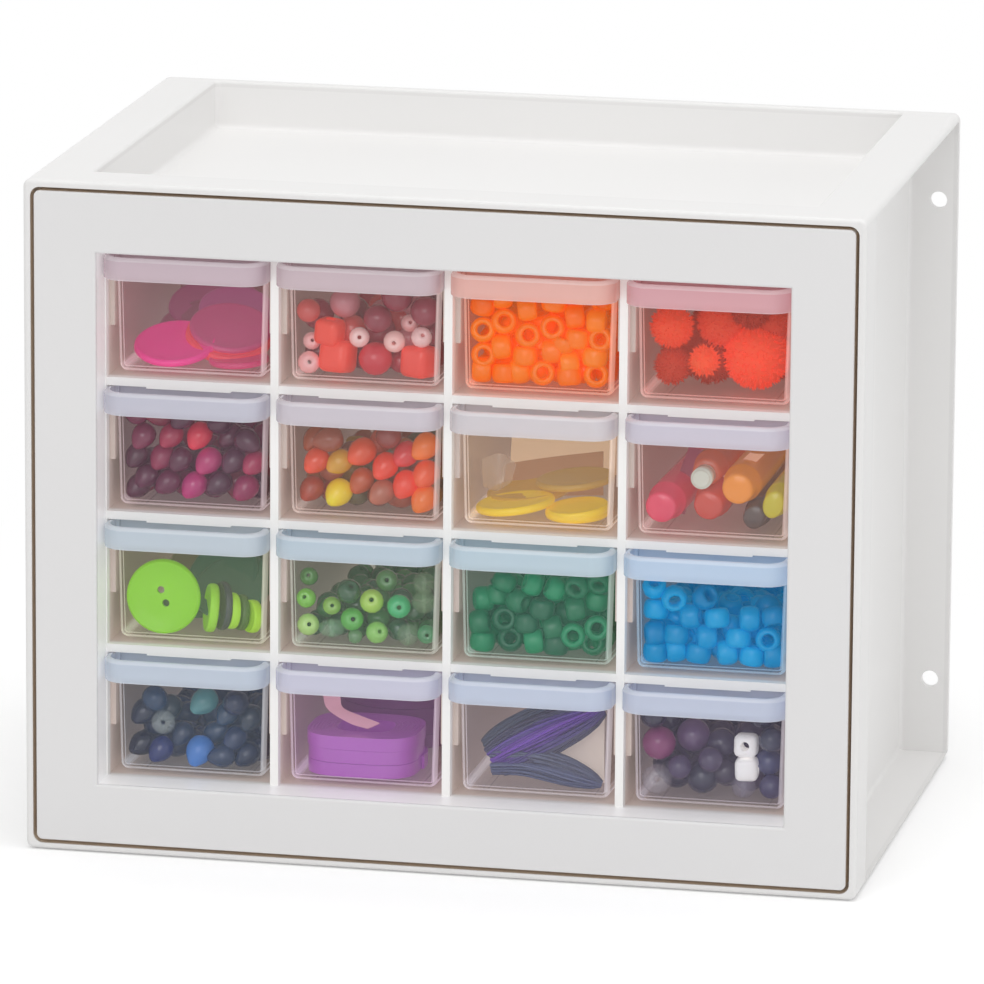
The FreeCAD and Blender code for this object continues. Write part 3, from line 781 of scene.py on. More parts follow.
# Row by row from the top, each from the left; the tints are painted light from what each drawer holds.
CONTENTS_LIGHT_TINTS = (
    ContentsLightTint("sequin discs", "e6c4cc", "d8c6ce"),
    ContentsLightTint("red beads", "e6c4be", "dac8ce"),
    ContentsLightTint("orange beads", "ff9c58", "f0c2b8"),
    ContentsLightTint("pom-poms", "f6a292", "e6b4ba"),
    ContentsLightTint("berry drops", "c9adb8", "d2d2de"),
    ContentsLightTint("orange drops", "dac0b4", "dad4dc"),
    ContentsLightTint("yellow discs", "f8e6d0", "dedade"),
    ContentsLightTint("capped tubes", "e8c8c0", "dad6e2"),
    ContentsLightTint("lime buttons", "d2dab6", "ced9e2"),
    ContentsLightTint("green beads", "c0d0bc", "cad9e4"),
    ContentsLightTint("dark green beads", "94c8b6", "cadce6"),
    ContentsLightTint("cyan beads", "4cb6e6", "c9dcf0"),
    ContentsLightTint("navy drops", "b4c0cc", "cfd9e6"),
    ContentsLightTint("rolls of tape", "d6bce0", "d8d8e8"),
    ContentsLightTint("thread skeins", "d6d2e0", "d0d9ea"),
    ContentsLightTint("dark beads", "beb6ca", "d0d7e8"),
)


class DrawerFinish(Enum):
    """The four looks of a drawer's plastic, in the order of its material slots."""

    WALL = 0
    LIP = 1
    EDGE = 2
    SIDE = 3


@dataclass
class ClearDrawers:
    """The sixteen drawers: clear walls, denser rounded edges with a painted highlight and glow, and a frosted
    lip in one smooth piece each.

    A low frosted wall, rounded along its top, closes the front wall's mouth behind each lip.
    """

    lip_low: float = 32.4 * MM
    lip_back: float = 19.0 * MM
    mouth_low: Point = (-23.05 * MM, 16.55 * MM, 34.15 * MM)
    mouth_high: Point = (23.05 * MM, 17.65 * MM, 39.4 * MM)
    mouth_round: float = 0.35 * MM
    weld: float = 0.002 * MM
    smooth_deg: float = 32.0
    flat_limit: float = 0.985
    edge_facing: float = 0.86
    rim_facing: float = 0.15
    # Shares of white for painted highlights: on the lip's upper and lower edges, and on the rounded edges.
    lip_rim_highlight: float = 0.3
    edge_highlight: float = 0.45

    def dress(self, groups: ShaderGroups) -> None:
        """Replace each drawer by a smooth copy with its finishes.

        Args:
            groups: the shared shader groups.
        """
        shared = dict(painted=True, roughness=0.24, bump=0.02)
        wall = MouldedFinish("clear_wall", "e6e4e6", "dcdade", alpha=0.1, **shared)
        # The lip's and the edges' glows are painted light; the edges' higher alpha is denser plastic.
        lip = MouldedFinish("frosted_lip", "ffffff", "f6f6fa", alpha=0.64, glow=0.04, **shared)
        edge = MouldedFinish("clear_edge", "fffafa", "f6f2f2", alpha=0.46, glow=0.35, **shared)
        # The side walls are hazier, as plastic seen edge-on, and darker and browner, a painted shade.
        side = MouldedFinish("hazy_side", "dcc8c0", "d0bcb4", alpha=0.22, **shared)
        materials = tuple(finish.build(groups) for finish in (wall, lip, edge, side))
        for place, tint in enumerate(CONTENTS_LIGHT_TINTS):
            row, column = place // COLUMNS + 1, place % COLUMNS + 1
            name = f"drawer_row{row}_col{column}"
            piece = self.smooth_copy(name, compartment_corner(row, column), tint, materials)
            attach(piece, drawer_body(row, column))
            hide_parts(name)
            LOG.info("smoothed and dressed %s, which holds %s", piece.name, tint.holds)

    def smooth_copy(
        self, node: str, place: np.ndarray, tint: ContentsLightTint, materials: tuple[bpy.types.Material, ...]
    ) -> bpy.types.Object:
        """Copy a drawer, join its loose triangles, smooth it and sort its faces by finish.

        Args:
            node: the drawer's name.
            place: its compartment's middle at floor level, on the cabinet's front, in millimetres.
            tint: its tints, painted light from its contents.
            materials: one material for each finish.

        Returns:
            The new piece.
        """
        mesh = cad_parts[node].data.copy()
        mesh.name = node + "_moulding"
        mesh.materials.clear()
        for material in materials:
            mesh.materials.append(material)
        shape = bmesh.new()
        shape.from_mesh(mesh)
        bmesh.ops.remove_doubles(shape, verts=shape.verts, dist=self.weld)
        corner = Vector(place * MM)
        self.close_mouth(shape, corner)
        shape.normal_update()
        for face in shape.faces:
            face.material_index = self.finish_of(face, corner).value
            face.smooth = True
        for edge in shape.edges:
            sharp = len(edge.link_faces) != 2 or edge.calc_face_angle(0.0) > math.radians(self.smooth_deg)
            edge.smooth = not sharp
        shape.to_mesh(mesh)
        shape.free()
        self.paint(mesh, srgb(tint.walls), srgb(tint.lip))
        return link_piece(mesh.name, mesh)

    def close_mouth(self, shape: bmesh.types.BMesh, corner: Vector) -> None:
        """Add the low wall that closes the mouth of one drawer's front wall.

        Args:
            shape: the drawer's faces, which gain the wall's.
            corner: the compartment's middle at floor level, on the cabinet's front.
        """
        low = corner + Vector(self.mouth_low)
        high = corner + Vector(self.mouth_high)
        place = Matrix.LocRotScale((low + high) / 2, None, high - low)
        wall = bmesh.ops.create_cube(shape, size=1.0, matrix=place)["verts"]
        edges = {edge for vertex in wall for edge in vertex.link_edges}
        level = high.z - self.mouth_round
        top = [edge for edge in edges if all(vertex.co.z > level for vertex in edge.verts)]
        bmesh.ops.bevel(
            shape, geom=top, offset=self.mouth_round, offset_type="OFFSET", segments=3, profile=0.5,
            affect="EDGES", clamp_overlap=True,
        )

    def finish_of(self, face: bmesh.types.BMFace, corner: Vector) -> DrawerFinish:
        """Choose a face's finish by where it is and which way it faces.

        Args:
            face: the face.
            corner: the compartment's middle at floor level, on the cabinet's front.

        Returns:
            The finish.
        """
        place = face.calc_center_median() - corner
        if place.z > self.lip_low and place.y < self.lip_back:
            return DrawerFinish.LIP
        if abs(face.normal.x) > self.flat_limit:
            return DrawerFinish.SIDE
        rounded = max(abs(part) for part in face.normal) < self.flat_limit
        return DrawerFinish.EDGE if rounded and abs(face.normal.y) < self.edge_facing else DrawerFinish.WALL

    def paint(self, mesh: bpy.types.Mesh, colour: Colour, lip_colour: Colour) -> None:
        """Store each face's tint, painted light from the contents; the lip has its own, and painted highlights
        lighten its upper and lower edges and the rounded edges.

        Args:
            mesh: the drawer.
            colour: the tint of its walls.
            lip_colour: the tint of its lip.
        """
        attribute = mesh.attributes.new("paint", "FLOAT_COLOR", "FACE")
        rim = lighten(lip_colour, self.lip_rim_highlight)
        edge = lighten(colour, self.edge_highlight)
        for face, value in zip(mesh.polygons, attribute.data):
            tone = colour
            if face.material_index == DrawerFinish.EDGE.value:
                tone = edge
            elif face.material_index == DrawerFinish.LIP.value:
                tone = rim if abs(face.normal.z) > self.rim_facing else lip_colour
            value.color = (*tone, 1.0)


# --- places inside a drawer ---
@dataclass(frozen=True)
class Compartment:
    """One drawer's inside, in millimetres from the middle of its front edge at floor level."""

    row: int
    column: int
    half_width: float = 22.2
    wall_lean: float = 0.027
    front: float = 17.8
    back: float = 165.0
    floor: float = 2.3
    roof: float = 37.0
    clear: float = 0.1
    sight_x: float = 0.2125
    sight_z: float = 0.241

    @property
    def label(self) -> str:
        """Name the compartment."""
        return f"row{self.row}_col{self.column}"

    def seen(self, x: float, z: float, behind: float) -> np.ndarray:
        """Find the point behind the front wall that shows at x, z from the front and a little right."""
        return np.array([x - self.sight_x * behind, self.front + behind, z - self.sight_z * behind])

    def in_frame(self, points: np.ndarray) -> np.ndarray:
        """Move points from the compartment into the cabinet's frame, in metres."""
        return (np.asarray(points) + compartment_corner(self.row, self.column)) * MM

    def shift_inside(self, outline: np.ndarray) -> np.ndarray:
        """Find the move that brings a piece's outline back inside the walls, the floor and the rim.

        Args:
            outline: the piece's points.

        Returns:
            The move across, back and up.
        """
        side = self.half_width + self.wall_lean * outline[:, 2]
        move = np.array(
            [
                max(0.0, (-side - outline[:, 0]).max()) - max(0.0, (outline[:, 0] - side).max()),
                -max(0.0, outline[:, 1].max() - self.back),
                -max(0.0, outline[:, 2].max() - self.roof),
            ]
        )
        move[1] += max(0.0, self.front + self.clear - outline[:, 1].min() - move[1])
        move[2] += max(0.0, self.floor + self.clear - outline[:, 2].min() - move[2])
        return move

    def keep_inside(self, points: np.ndarray, radii: np.ndarray) -> None:
        """Push balls back inside the walls and up from the floor.

        Args:
            points: their middles, which it changes.
            radii: their radii.
        """
        side = self.half_width + self.wall_lean * points[:, 2] - radii
        points[:, 0] = np.clip(points[:, 0], -side, side)
        points[:, 1] = np.clip(points[:, 1], self.front + radii, self.back - radii)
        points[:, 2] = np.maximum(points[:, 2], self.floor + radii)


class Lean(Enum):
    """Which way a piece's axis points."""

    FACING = "towards the viewer"
    ACROSS = "across the drawer"
    UPRIGHT = "straight up"
    TIP_DOWN = "towards the viewer, down and to the left"
    ALONG = "along the drawer"
    ANY = "any way"


LEAN_AXES = {
    Lean.FACING: (0.2, -0.95, 0.23),
    Lean.ACROSS: (1.0, 0.25, 0.1),
    Lean.UPRIGHT: (0.05, 0.1, 1.0),
    Lean.TIP_DOWN: (-0.42, -0.62, -0.52),
    Lean.ALONG: (0.0, -1.0, 0.0),
}


@dataclass(frozen=True)
class Item:
    """One loose piece: where it shows, how far behind the front wall, its lean, size and colour."""

    x: float
    z: float
    lean: Lean | Point = Lean.ANY
    colour: str = ""
    size: float | Point = 1.0
    behind: float | None = None


def axis_turn(axis: Point, spin: float) -> Point:
    """Find the Euler angles that point a piece's axis one way, spun about it by some radians."""
    quaternion = Vector(axis).to_track_quat("Z", "Y") @ Matrix.Rotation(spin, 3, "Z").to_quaternion()
    return tuple(quaternion.to_euler())


@dataclass(frozen=True)
class Settler:
    """Lets balls fall and push each other apart until they lie in a heap."""

    steps: int = 130
    fall: float = 0.55
    rest_steps: int = 25
    rounds: int = 2
    give: float = 0.8
    least_gap: float = 1e-9
    start_half_width: float = 18.0
    start_front: float = 4.0
    start_heights: tuple[float, float] = (6.0, 62.0)

    def push_apart(self, points: np.ndarray, radii: np.ndarray, free: np.ndarray) -> None:
        """Move overlapping balls apart; only free ones move.

        Args:
            points: the balls' middles, which it changes.
            radii: their radii.
            free: which of them may move.
        """
        gap = points[:, None, :] - points[None, :, :]
        far = np.sqrt((gap**2).sum(-1)) + self.least_gap
        overlap = np.maximum(radii[:, None] + radii[None, :] - far, 0.0)
        np.fill_diagonal(overlap, 0.0)
        share = np.where(free[None, :], 0.5, 1.0)
        push = (gap / far[..., None] * (overlap * share)[..., None]).sum(1)
        points[free] += self.give * push[free]

    def heap(
        self,
        room: Compartment,
        held: np.ndarray,
        held_radii: np.ndarray,
        loose_radii: np.ndarray,
        reach: float,
        slope_deg: float,
        seed: int,
    ) -> np.ndarray:
        """Drop loose balls round the held ones.

        Args:
            room: the compartment that holds them.
            held: the places of the balls that stay.
            held_radii: their radii.
            loose_radii: the radii of the balls that fall.
            reach: how far back they start, from the front wall.
            slope_deg: how much the heap leans towards the front.
            seed: the seed of their first places.

        Returns:
            The places of the loose balls.
        """
        rng = np.random.default_rng(seed)
        count = len(loose_radii)
        loose = np.column_stack(
            (
                rng.uniform(-self.start_half_width, self.start_half_width, count),
                rng.uniform(room.front + self.start_front, room.front + reach, count),
                rng.uniform(*self.start_heights, count),
            )
        )
        points = np.vstack((held, loose))
        radii = np.concatenate((held_radii, loose_radii))
        free = np.arange(len(points)) >= len(held)
        slope = math.radians(slope_deg)
        pull = self.fall * np.array([0.0, -math.sin(slope), -math.cos(slope)])
        for step in range(self.steps + self.rest_steps):
            if step < self.steps:
                points[free] += pull
            for _ in range(self.rounds):
                self.push_apart(points, radii, free)
                room.keep_inside(points, radii)
        return points[free]


# --- mesh helpers ---
def lathe(name: str, profile: list[tuple[float, float]], segments: int, closed: bool) -> bpy.types.Mesh:
    """Turn a profile about the Z axis.

    Args:
        name: the mesh's name.
        profile: (radius, height) points in millimetres, in order round the section.
        segments: the number of steps round.
        closed: whether the profile is a ring; otherwise it starts and ends on the axis.

    Returns:
        The mesh, smooth and closed, in metres.
    """
    shape = bmesh.new()
    rings = []
    for radius, height in profile:
        angles = [2 * math.pi * i / segments for i in range(segments)] if radius > ON_AXIS else [0.0]
        rings.append(
            [
                shape.verts.new((radius * MM * math.cos(a), radius * MM * math.sin(a), height * MM))
                for a in angles
            ]
        )
    pairs = list(zip(rings, rings[1:])) + ([(rings[-1], rings[0])] if closed else [])
    for low, high in pairs:
        for i in range(segments):
            j = (i + 1) % segments
            corners = [low[i % len(low)], low[j % len(low)], high[j % len(high)], high[i % len(high)]]
            distinct = list(dict.fromkeys(corners))
            if len(distinct) > 2:
                shape.faces.new(distinct)
    bmesh.ops.recalc_face_normals(shape, faces=shape.faces)
    for face in shape.faces:
        face.smooth = True
    mesh = bpy.data.meshes.new(name)
    shape.to_mesh(mesh)
    shape.free()
    return mesh


def settle_surface(mesh: bpy.types.Mesh, angle_deg: float = 40.0) -> None:
    """Point a closed mesh's faces outwards and smooth it except across its sharp edges.

    Args:
        mesh: the mesh.
        angle_deg: edges that turn more than this stay sharp.
    """
    shape = bmesh.new()
    shape.from_mesh(mesh)
    bmesh.ops.recalc_face_normals(shape, faces=shape.faces)
    for face in shape.faces:
        face.smooth = True
    for edge in shape.edges:
        edge.smooth = len(edge.link_faces) == 2 and edge.calc_face_angle(0.0) < math.radians(angle_deg)
    shape.to_mesh(mesh)
    shape.free()


def link_piece(name: str, mesh: bpy.types.Mesh) -> bpy.types.Object:
    """Make an object of a mesh and put it in the scene.

    Args:
        name: the object's name.
        mesh: its mesh.

    Returns:
        The object, at the origin.
    """
    piece = bpy.data.objects.new(name, mesh)
    bpy.context.scene.collection.objects.link(piece)
    return piece


def mark_points(mesh: bpy.types.Mesh, name: str, kind: str, values: object) -> None:
    """Store a value on each point of a mesh.

    Args:
        mesh: the mesh.
        name: the attribute's name.
        kind: its data type.
        values: the values, in the points' order.
    """
    field = {"FLOAT": "value", "FLOAT_VECTOR": "vector", "FLOAT_COLOR": "color"}[kind]
    attribute = mesh.attributes.new(name, kind, "POINT")
    attribute.data.foreach_set(field, np.array(values, np.float32).ravel())


def set_input(modifier: bpy.types.NodesModifier, name: str, value: object) -> None:
    """Set a modifier's named input by its identifier."""
    sockets = modifier.node_group.interface.items_tree
    modifier[next(s.identifier for s in sockets if s.in_out == "INPUT" and s.name == name)] = value


def take_result(name: str, carrier: bpy.types.Object) -> bpy.types.Object:
    """Turn an object's evaluated shape into a new plain object, and remove the old one.

    Args:
        name: the new object's name.
        carrier: the object with its modifiers.

    Returns:
        The new object, at the origin.
    """
    graph = bpy.context.evaluated_depsgraph_get()
    graph.update()
    mesh = bpy.data.meshes.new_from_object(carrier.evaluated_get(graph), depsgraph=graph)
    bpy.data.objects.remove(carrier)
    mesh.name = name
    return link_piece(name, mesh)


# --- shapes ---
class Shape(Enum):
    """The kinds of small loose pieces, each made about its own axis."""

    PONY = "pony_bead"
    PLAIN_PONY = "plain_pony_bead"
    ROUND = "round_bead"
    BALL = "ball"
    DROP = "drop_bead"
    DISC = "disc"
    TUBE = "capped_tube"
    CUBE = "cube_bead"
    BUTTON = "two_hole_button"

    def build(self) -> bpy.types.Mesh:
        """Make the shape at its real size.

        Returns:
            The mesh.
        """
        if self is Shape.PONY:
            half = [(2.1, 2.75), (2.7, 3.0), (3.3, 2.75), (3.8, 1.9), (4.0, 0.8)]
            bore = [(1.85, 1.9), (1.85, -1.9)]
            ring = [(r, -h) for r, h in half] + [(r, h) for r, h in reversed(half)] + bore
            return lathe(self.value, ring, 18, True)
        if self is Shape.PLAIN_PONY:
            ring = [(1.9, -2.6), (3.2, -2.8), (4.0, -1.0), (4.0, 1.0), (3.2, 2.8), (1.9, 2.6)]
            return lathe(self.value, ring, 9, True)
        if self is Shape.ROUND:
            angles = [math.radians(a) for a in range(-78, 79, 26)]
            ring = [(4.0 * math.cos(a), 4.0 * math.sin(a)) for a in angles] + [(0.75, 2.6), (0.75, -2.6)]
            return lathe(self.value, ring, 14, True)
        if self is Shape.BALL:
            angles = [math.radians(a) for a in range(-90, 91, 18)]
            return lathe(self.value, [(4.0 * math.cos(a), 4.0 * math.sin(a)) for a in angles], 16, False)
        if self is Shape.DROP:
            return self.build_drop()
        if self is Shape.DISC:
            back = [(0.0, -0.75), (6.0, -0.85), (11.4, -0.9)]
            edge = [(12.1, -0.7), (12.5, -0.1), (12.3, 0.6), (11.7, 0.95), (10.9, 0.8), (10.2, 0.55)]
            return lathe(self.value, back + edge + [(6.0, 0.45), (0.0, 0.4)], 48, False)
        if self is Shape.TUBE:
            cap = [(0.0, 0.3), (3.9, 0.3), (4.6, 0.0), (5.0, -0.5), (5.0, -7.0), (6.0, -7.3), (6.2, -8.0)]
            return lathe(self.value, cap + [(6.2, -94.0), (5.6, -95.0), (0.0, -95.2)], 32, False)
        return Drill().cube() if self is Shape.CUBE else Drill().button()

    def build_drop(self) -> bpy.types.Mesh:
        """Make a drop, and mark how near each point is to its tip.

        Returns:
            The mesh, with the nearness in its attribute tip.
        """
        profile = [(0.0, -4.6), (2.2, -4.3), (3.7, -3.0), (4.4, -1.0), (4.3, 1.0), (3.6, 2.8), (2.5, 4.3)]
        mesh = lathe(self.value, profile + [(1.6, 5.3), (0.9, 5.8), (0.0, 5.9)], 14, False)
        tip_start, tip_length = 1.5, 4.5
        nearness = [min(max((v.co.z / MM - tip_start) / tip_length, 0.0), 1.0) for v in mesh.vertices]
        mark_points(mesh, "tip", "FLOAT", nearness)
        return mesh


@dataclass(frozen=True)
class Drill:
    """Makes the shapes that have holes right through them."""

    cube_side: float = 7.4 * MM
    cube_round: float = 1.8 * MM
    cube_hole: float = 1.5 * MM
    button_hole: float = 1.25 * MM
    button_hole_gap: float = 2.35 * MM
    button_turn_deg: float = -68.0
    depth: float = 50.0 * MM
    sides: int = 16

    def cut(
        self, name: str, blank: bpy.types.Mesh, places: tuple[float, ...], radius: float
    ) -> bpy.types.Mesh:
        """Cut round holes along Z through a mesh.

        Args:
            name: the new mesh's name.
            blank: the solid.
            places: where the holes are along X.
            radius: their radius.

        Returns:
            The cut mesh.
        """
        shape = bmesh.new()
        for x in places:
            bmesh.ops.create_cone(
                shape, cap_ends=True, segments=self.sides, radius1=radius, radius2=radius, depth=self.depth,
                matrix=Matrix.Translation((x, 0.0, 0.0)),
            )
        bits = bpy.data.meshes.new(name + "_bits")
        shape.to_mesh(bits)
        shape.free()
        drill = link_piece(name + "_bits", bits)
        body = link_piece(name + "_blank", blank)
        modifier = body.modifiers.new("holes", "BOOLEAN")
        modifier.operation = "DIFFERENCE"
        modifier.solver = "EXACT"
        modifier.object = drill
        result = take_result(name, body)
        mesh = result.data
        bpy.data.objects.remove(drill)
        bpy.data.objects.remove(result)
        settle_surface(mesh)
        return mesh

    def cube(self) -> bpy.types.Mesh:
        """Make a rounded cube bead with one hole.

        Returns:
            The mesh.
        """
        shape = bmesh.new()
        bmesh.ops.create_cube(shape, size=self.cube_side)
        bmesh.ops.bevel(
            shape, geom=shape.edges[:], offset=self.cube_round, segments=3, profile=0.5, affect="EDGES"
        )
        blank = bpy.data.meshes.new("cube_blank")
        shape.to_mesh(blank)
        shape.free()
        return self.cut(Shape.CUBE.value, blank, (0.0,), self.cube_hole)

    def button(self) -> bpy.types.Mesh:
        """Make a rimmed button with two holes.

        Returns:
            The mesh.
        """
        gap = self.button_hole_gap
        mesh = self.cut(Shape.BUTTON.value, Shape.DISC.build(), (gap, -gap), self.button_hole)
        mesh.transform(Matrix.Rotation(math.radians(self.button_turn_deg), 4, "Z"))
        return mesh


# --- node trees for what repeats ---
class GeometryTrees:
    """The geometry trees that scatter pieces, grow fluff and spin thread, each built once."""

    def __init__(self) -> None:
        """Build every tree."""
        self.scatter = self.build_scatter()
        self.fluff = self.build_fluff()
        self.thread = self.build_thread()

    def build_scatter(self) -> bpy.types.NodeTree:
        """Build the tree that puts one shape on every point of a cloud, with the cloud's turns and sizes.

        Returns:
            The tree.
        """
        pen, given = start_tree(
            "scatter_pieces",
            "Geometry",
            {"Geometry": ("Geometry", None), "Piece": ("Object", None), "Finish": ("Material", None)},
            {"Geometry": "Geometry"},
        )
        piece = pen.node("GeometryNodeObjectInfo", Object=given["Piece"])
        turn = pen.node("GeometryNodeInputNamedAttribute", {"data_type": "FLOAT_VECTOR"}, Name="turn")
        size = pen.node("GeometryNodeInputNamedAttribute", {"data_type": "FLOAT_VECTOR"}, Name="size")
        euler = pen.node("FunctionNodeEulerToRotation", Euler=turn.outputs["Attribute"])
        placed = pen.node(
            "GeometryNodeInstanceOnPoints",
            Points=given["Geometry"],
            Instance=piece.outputs["Geometry"],
            Rotation=euler.outputs["Rotation"],
            Scale=size.outputs["Attribute"],
        )
        return self.close(pen, placed.outputs["Instances"], given["Finish"])

    def build_fluff(self) -> bpy.types.NodeTree:
        """Build the tree that grows short fibres all over a surface.

        Returns:
            The tree.
        """
        pen, given = start_tree(
            "grow_fluff",
            "Geometry",
            {
                "Geometry": ("Geometry", None),
                "Fibres per m2": ("Float", 900000.0),
                "Fibre Length": ("Float", 1.4 * MM),
                "Fibre Radius": ("Float", 0.3 * MM),
                "Lean": ("Float", 0.5),
                "Seed": ("Int", 14),
                "Finish": ("Material", None),
            },
            {"Geometry": "Geometry"},
        )
        fibre = pen.node(
            "GeometryNodeMeshCone",
            {"fill_type": "NONE"},
            Vertices=3,
            Radius_Top=0.0,
            Radius_Bottom=given["Fibre Radius"],
            Depth=given["Fibre Length"],
        )
        roots = pen.node(
            "GeometryNodeDistributePointsOnFaces",
            Mesh=given["Geometry"],
            Density=given["Fibres per m2"],
            Seed=given["Seed"],
        )
        lean = pen.node("FunctionNodeRandomValue", {"data_type": "FLOAT_VECTOR"}, Seed=given["Seed"])
        lean.inputs["Min"].default_value = (-1.0, -1.0, -1.0)
        scaled = pen.node(
            "ShaderNodeVectorMath", {"operation": "SCALE"}, n0=lean.outputs["Value"], Scale=given["Lean"]
        )
        euler = pen.node("FunctionNodeEulerToRotation", Euler=scaled.outputs["Vector"])
        turn = pen.node(
            "FunctionNodeRotateRotation",
            {"rotation_space": "LOCAL"},
            Rotation=roots.outputs["Rotation"],
            Rotate_By=euler.outputs["Rotation"],
        )
        grown = pen.node(
            "GeometryNodeInstanceOnPoints",
            Points=roots.outputs["Points"],
            Instance=fibre.outputs["Mesh"],
            Rotation=turn.outputs["Rotation"],
        )
        joined = pen.node("GeometryNodeJoinGeometry", Geometry=given["Geometry"])
        pen.feed(joined.inputs[0], grown.outputs["Instances"])
        return self.close(pen, joined.outputs["Geometry"], given["Finish"])

    def build_thread(self) -> bpy.types.NodeTree:
        """Build the tree that gives loose lines the roundness of thread.

        Returns:
            The tree.
        """
        pen, given = start_tree(
            "spin_thread",
            "Geometry",
            {
                "Geometry": ("Geometry", None),
                "Thread Radius": ("Float", 0.4 * MM),
                "Sides": ("Int", 4),
                "Finish": ("Material", None),
            },
            {"Geometry": "Geometry"},
        )
        lines = pen.node("GeometryNodeMeshToCurve", Mesh=given["Geometry"])
        ring = pen.node(
            "GeometryNodeCurvePrimitiveCircle", Resolution=given["Sides"], Radius=given["Thread Radius"]
        )
        tube = pen.node(
            "GeometryNodeCurveToMesh",
            Curve=lines.outputs["Curve"],
            Profile_Curve=ring.outputs["Curve"],
            Fill_Caps=True,
        )
        smooth = pen.node("GeometryNodeSetShadeSmooth", Geometry=tube.outputs["Mesh"])
        return self.close(pen, smooth.outputs["Geometry"], given["Finish"])

    def close(
        self, pen: Pen, shape: bpy.types.NodeSocket, finish: bpy.types.NodeSocket
    ) -> bpy.types.NodeTree:
        """End a tree: real geometry, its material, and out.

        Args:
            pen: the tree's pen.
            shape: the geometry so far.
            finish: the material input.

        Returns:
            The finished tree.
        """
        real = pen.node("GeometryNodeRealizeInstances", Geometry=shape)
        dressed = pen.node("GeometryNodeSetMaterial", Geometry=real.outputs["Geometry"], Material=finish)
        pen.node("NodeGroupOutput", Geometry=dressed.outputs["Geometry"])
        return pen.tree


# --- contents ---
class Kit:
    """What every load shares: the trees, the settler, the finishes and the places already taken."""

    def __init__(self, groups: ShaderGroups) -> None:
        """Build the trees and the finishes.

        Args:
            groups: the shared shader groups.
        """
        self.trees = GeometryTrees()
        self.settler = Settler()
        self.finishes = build_finishes(groups)
        self.taken: dict[str, list[tuple[float, float, float, float]]] = {}

    def mesh(self, shape: Shape) -> bpy.types.Mesh:
        """Give the shape's mesh, built at its first use."""
        return bpy.data.meshes.get(shape.value) or shape.build()

    def grow(
        self, name: str, carrier: bpy.types.Object, tree: bpy.types.NodeTree, **inputs: object
    ) -> bpy.types.Object:
        """Run a geometry tree on an object and keep the result as a plain mesh.

        Args:
            name: the new piece's name.
            carrier: the object that the tree starts from, which is removed.
            tree: the geometry tree.
            **inputs: values for the tree's named inputs, with _ for a space.

        Returns:
            The new piece.
        """
        modifier = carrier.modifiers.new("tree", "NODES")
        modifier.node_group = tree
        for key, value in inputs.items():
            set_input(modifier, key.replace("_", " "), value)
        return take_result(name, carrier)

    def seat(self, piece: bpy.types.Object, room: Compartment) -> bpy.types.Object:
        """Let a finished piece ride on its drawer, and report it.

        Args:
            piece: the piece.
            room: the compartment of the drawer.

        Returns:
            The same piece.
        """
        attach(piece, drawer_body(room.row, room.column))
        LOG.info("%s: %d faces", piece.name, len(piece.data.polygons))
        return piece


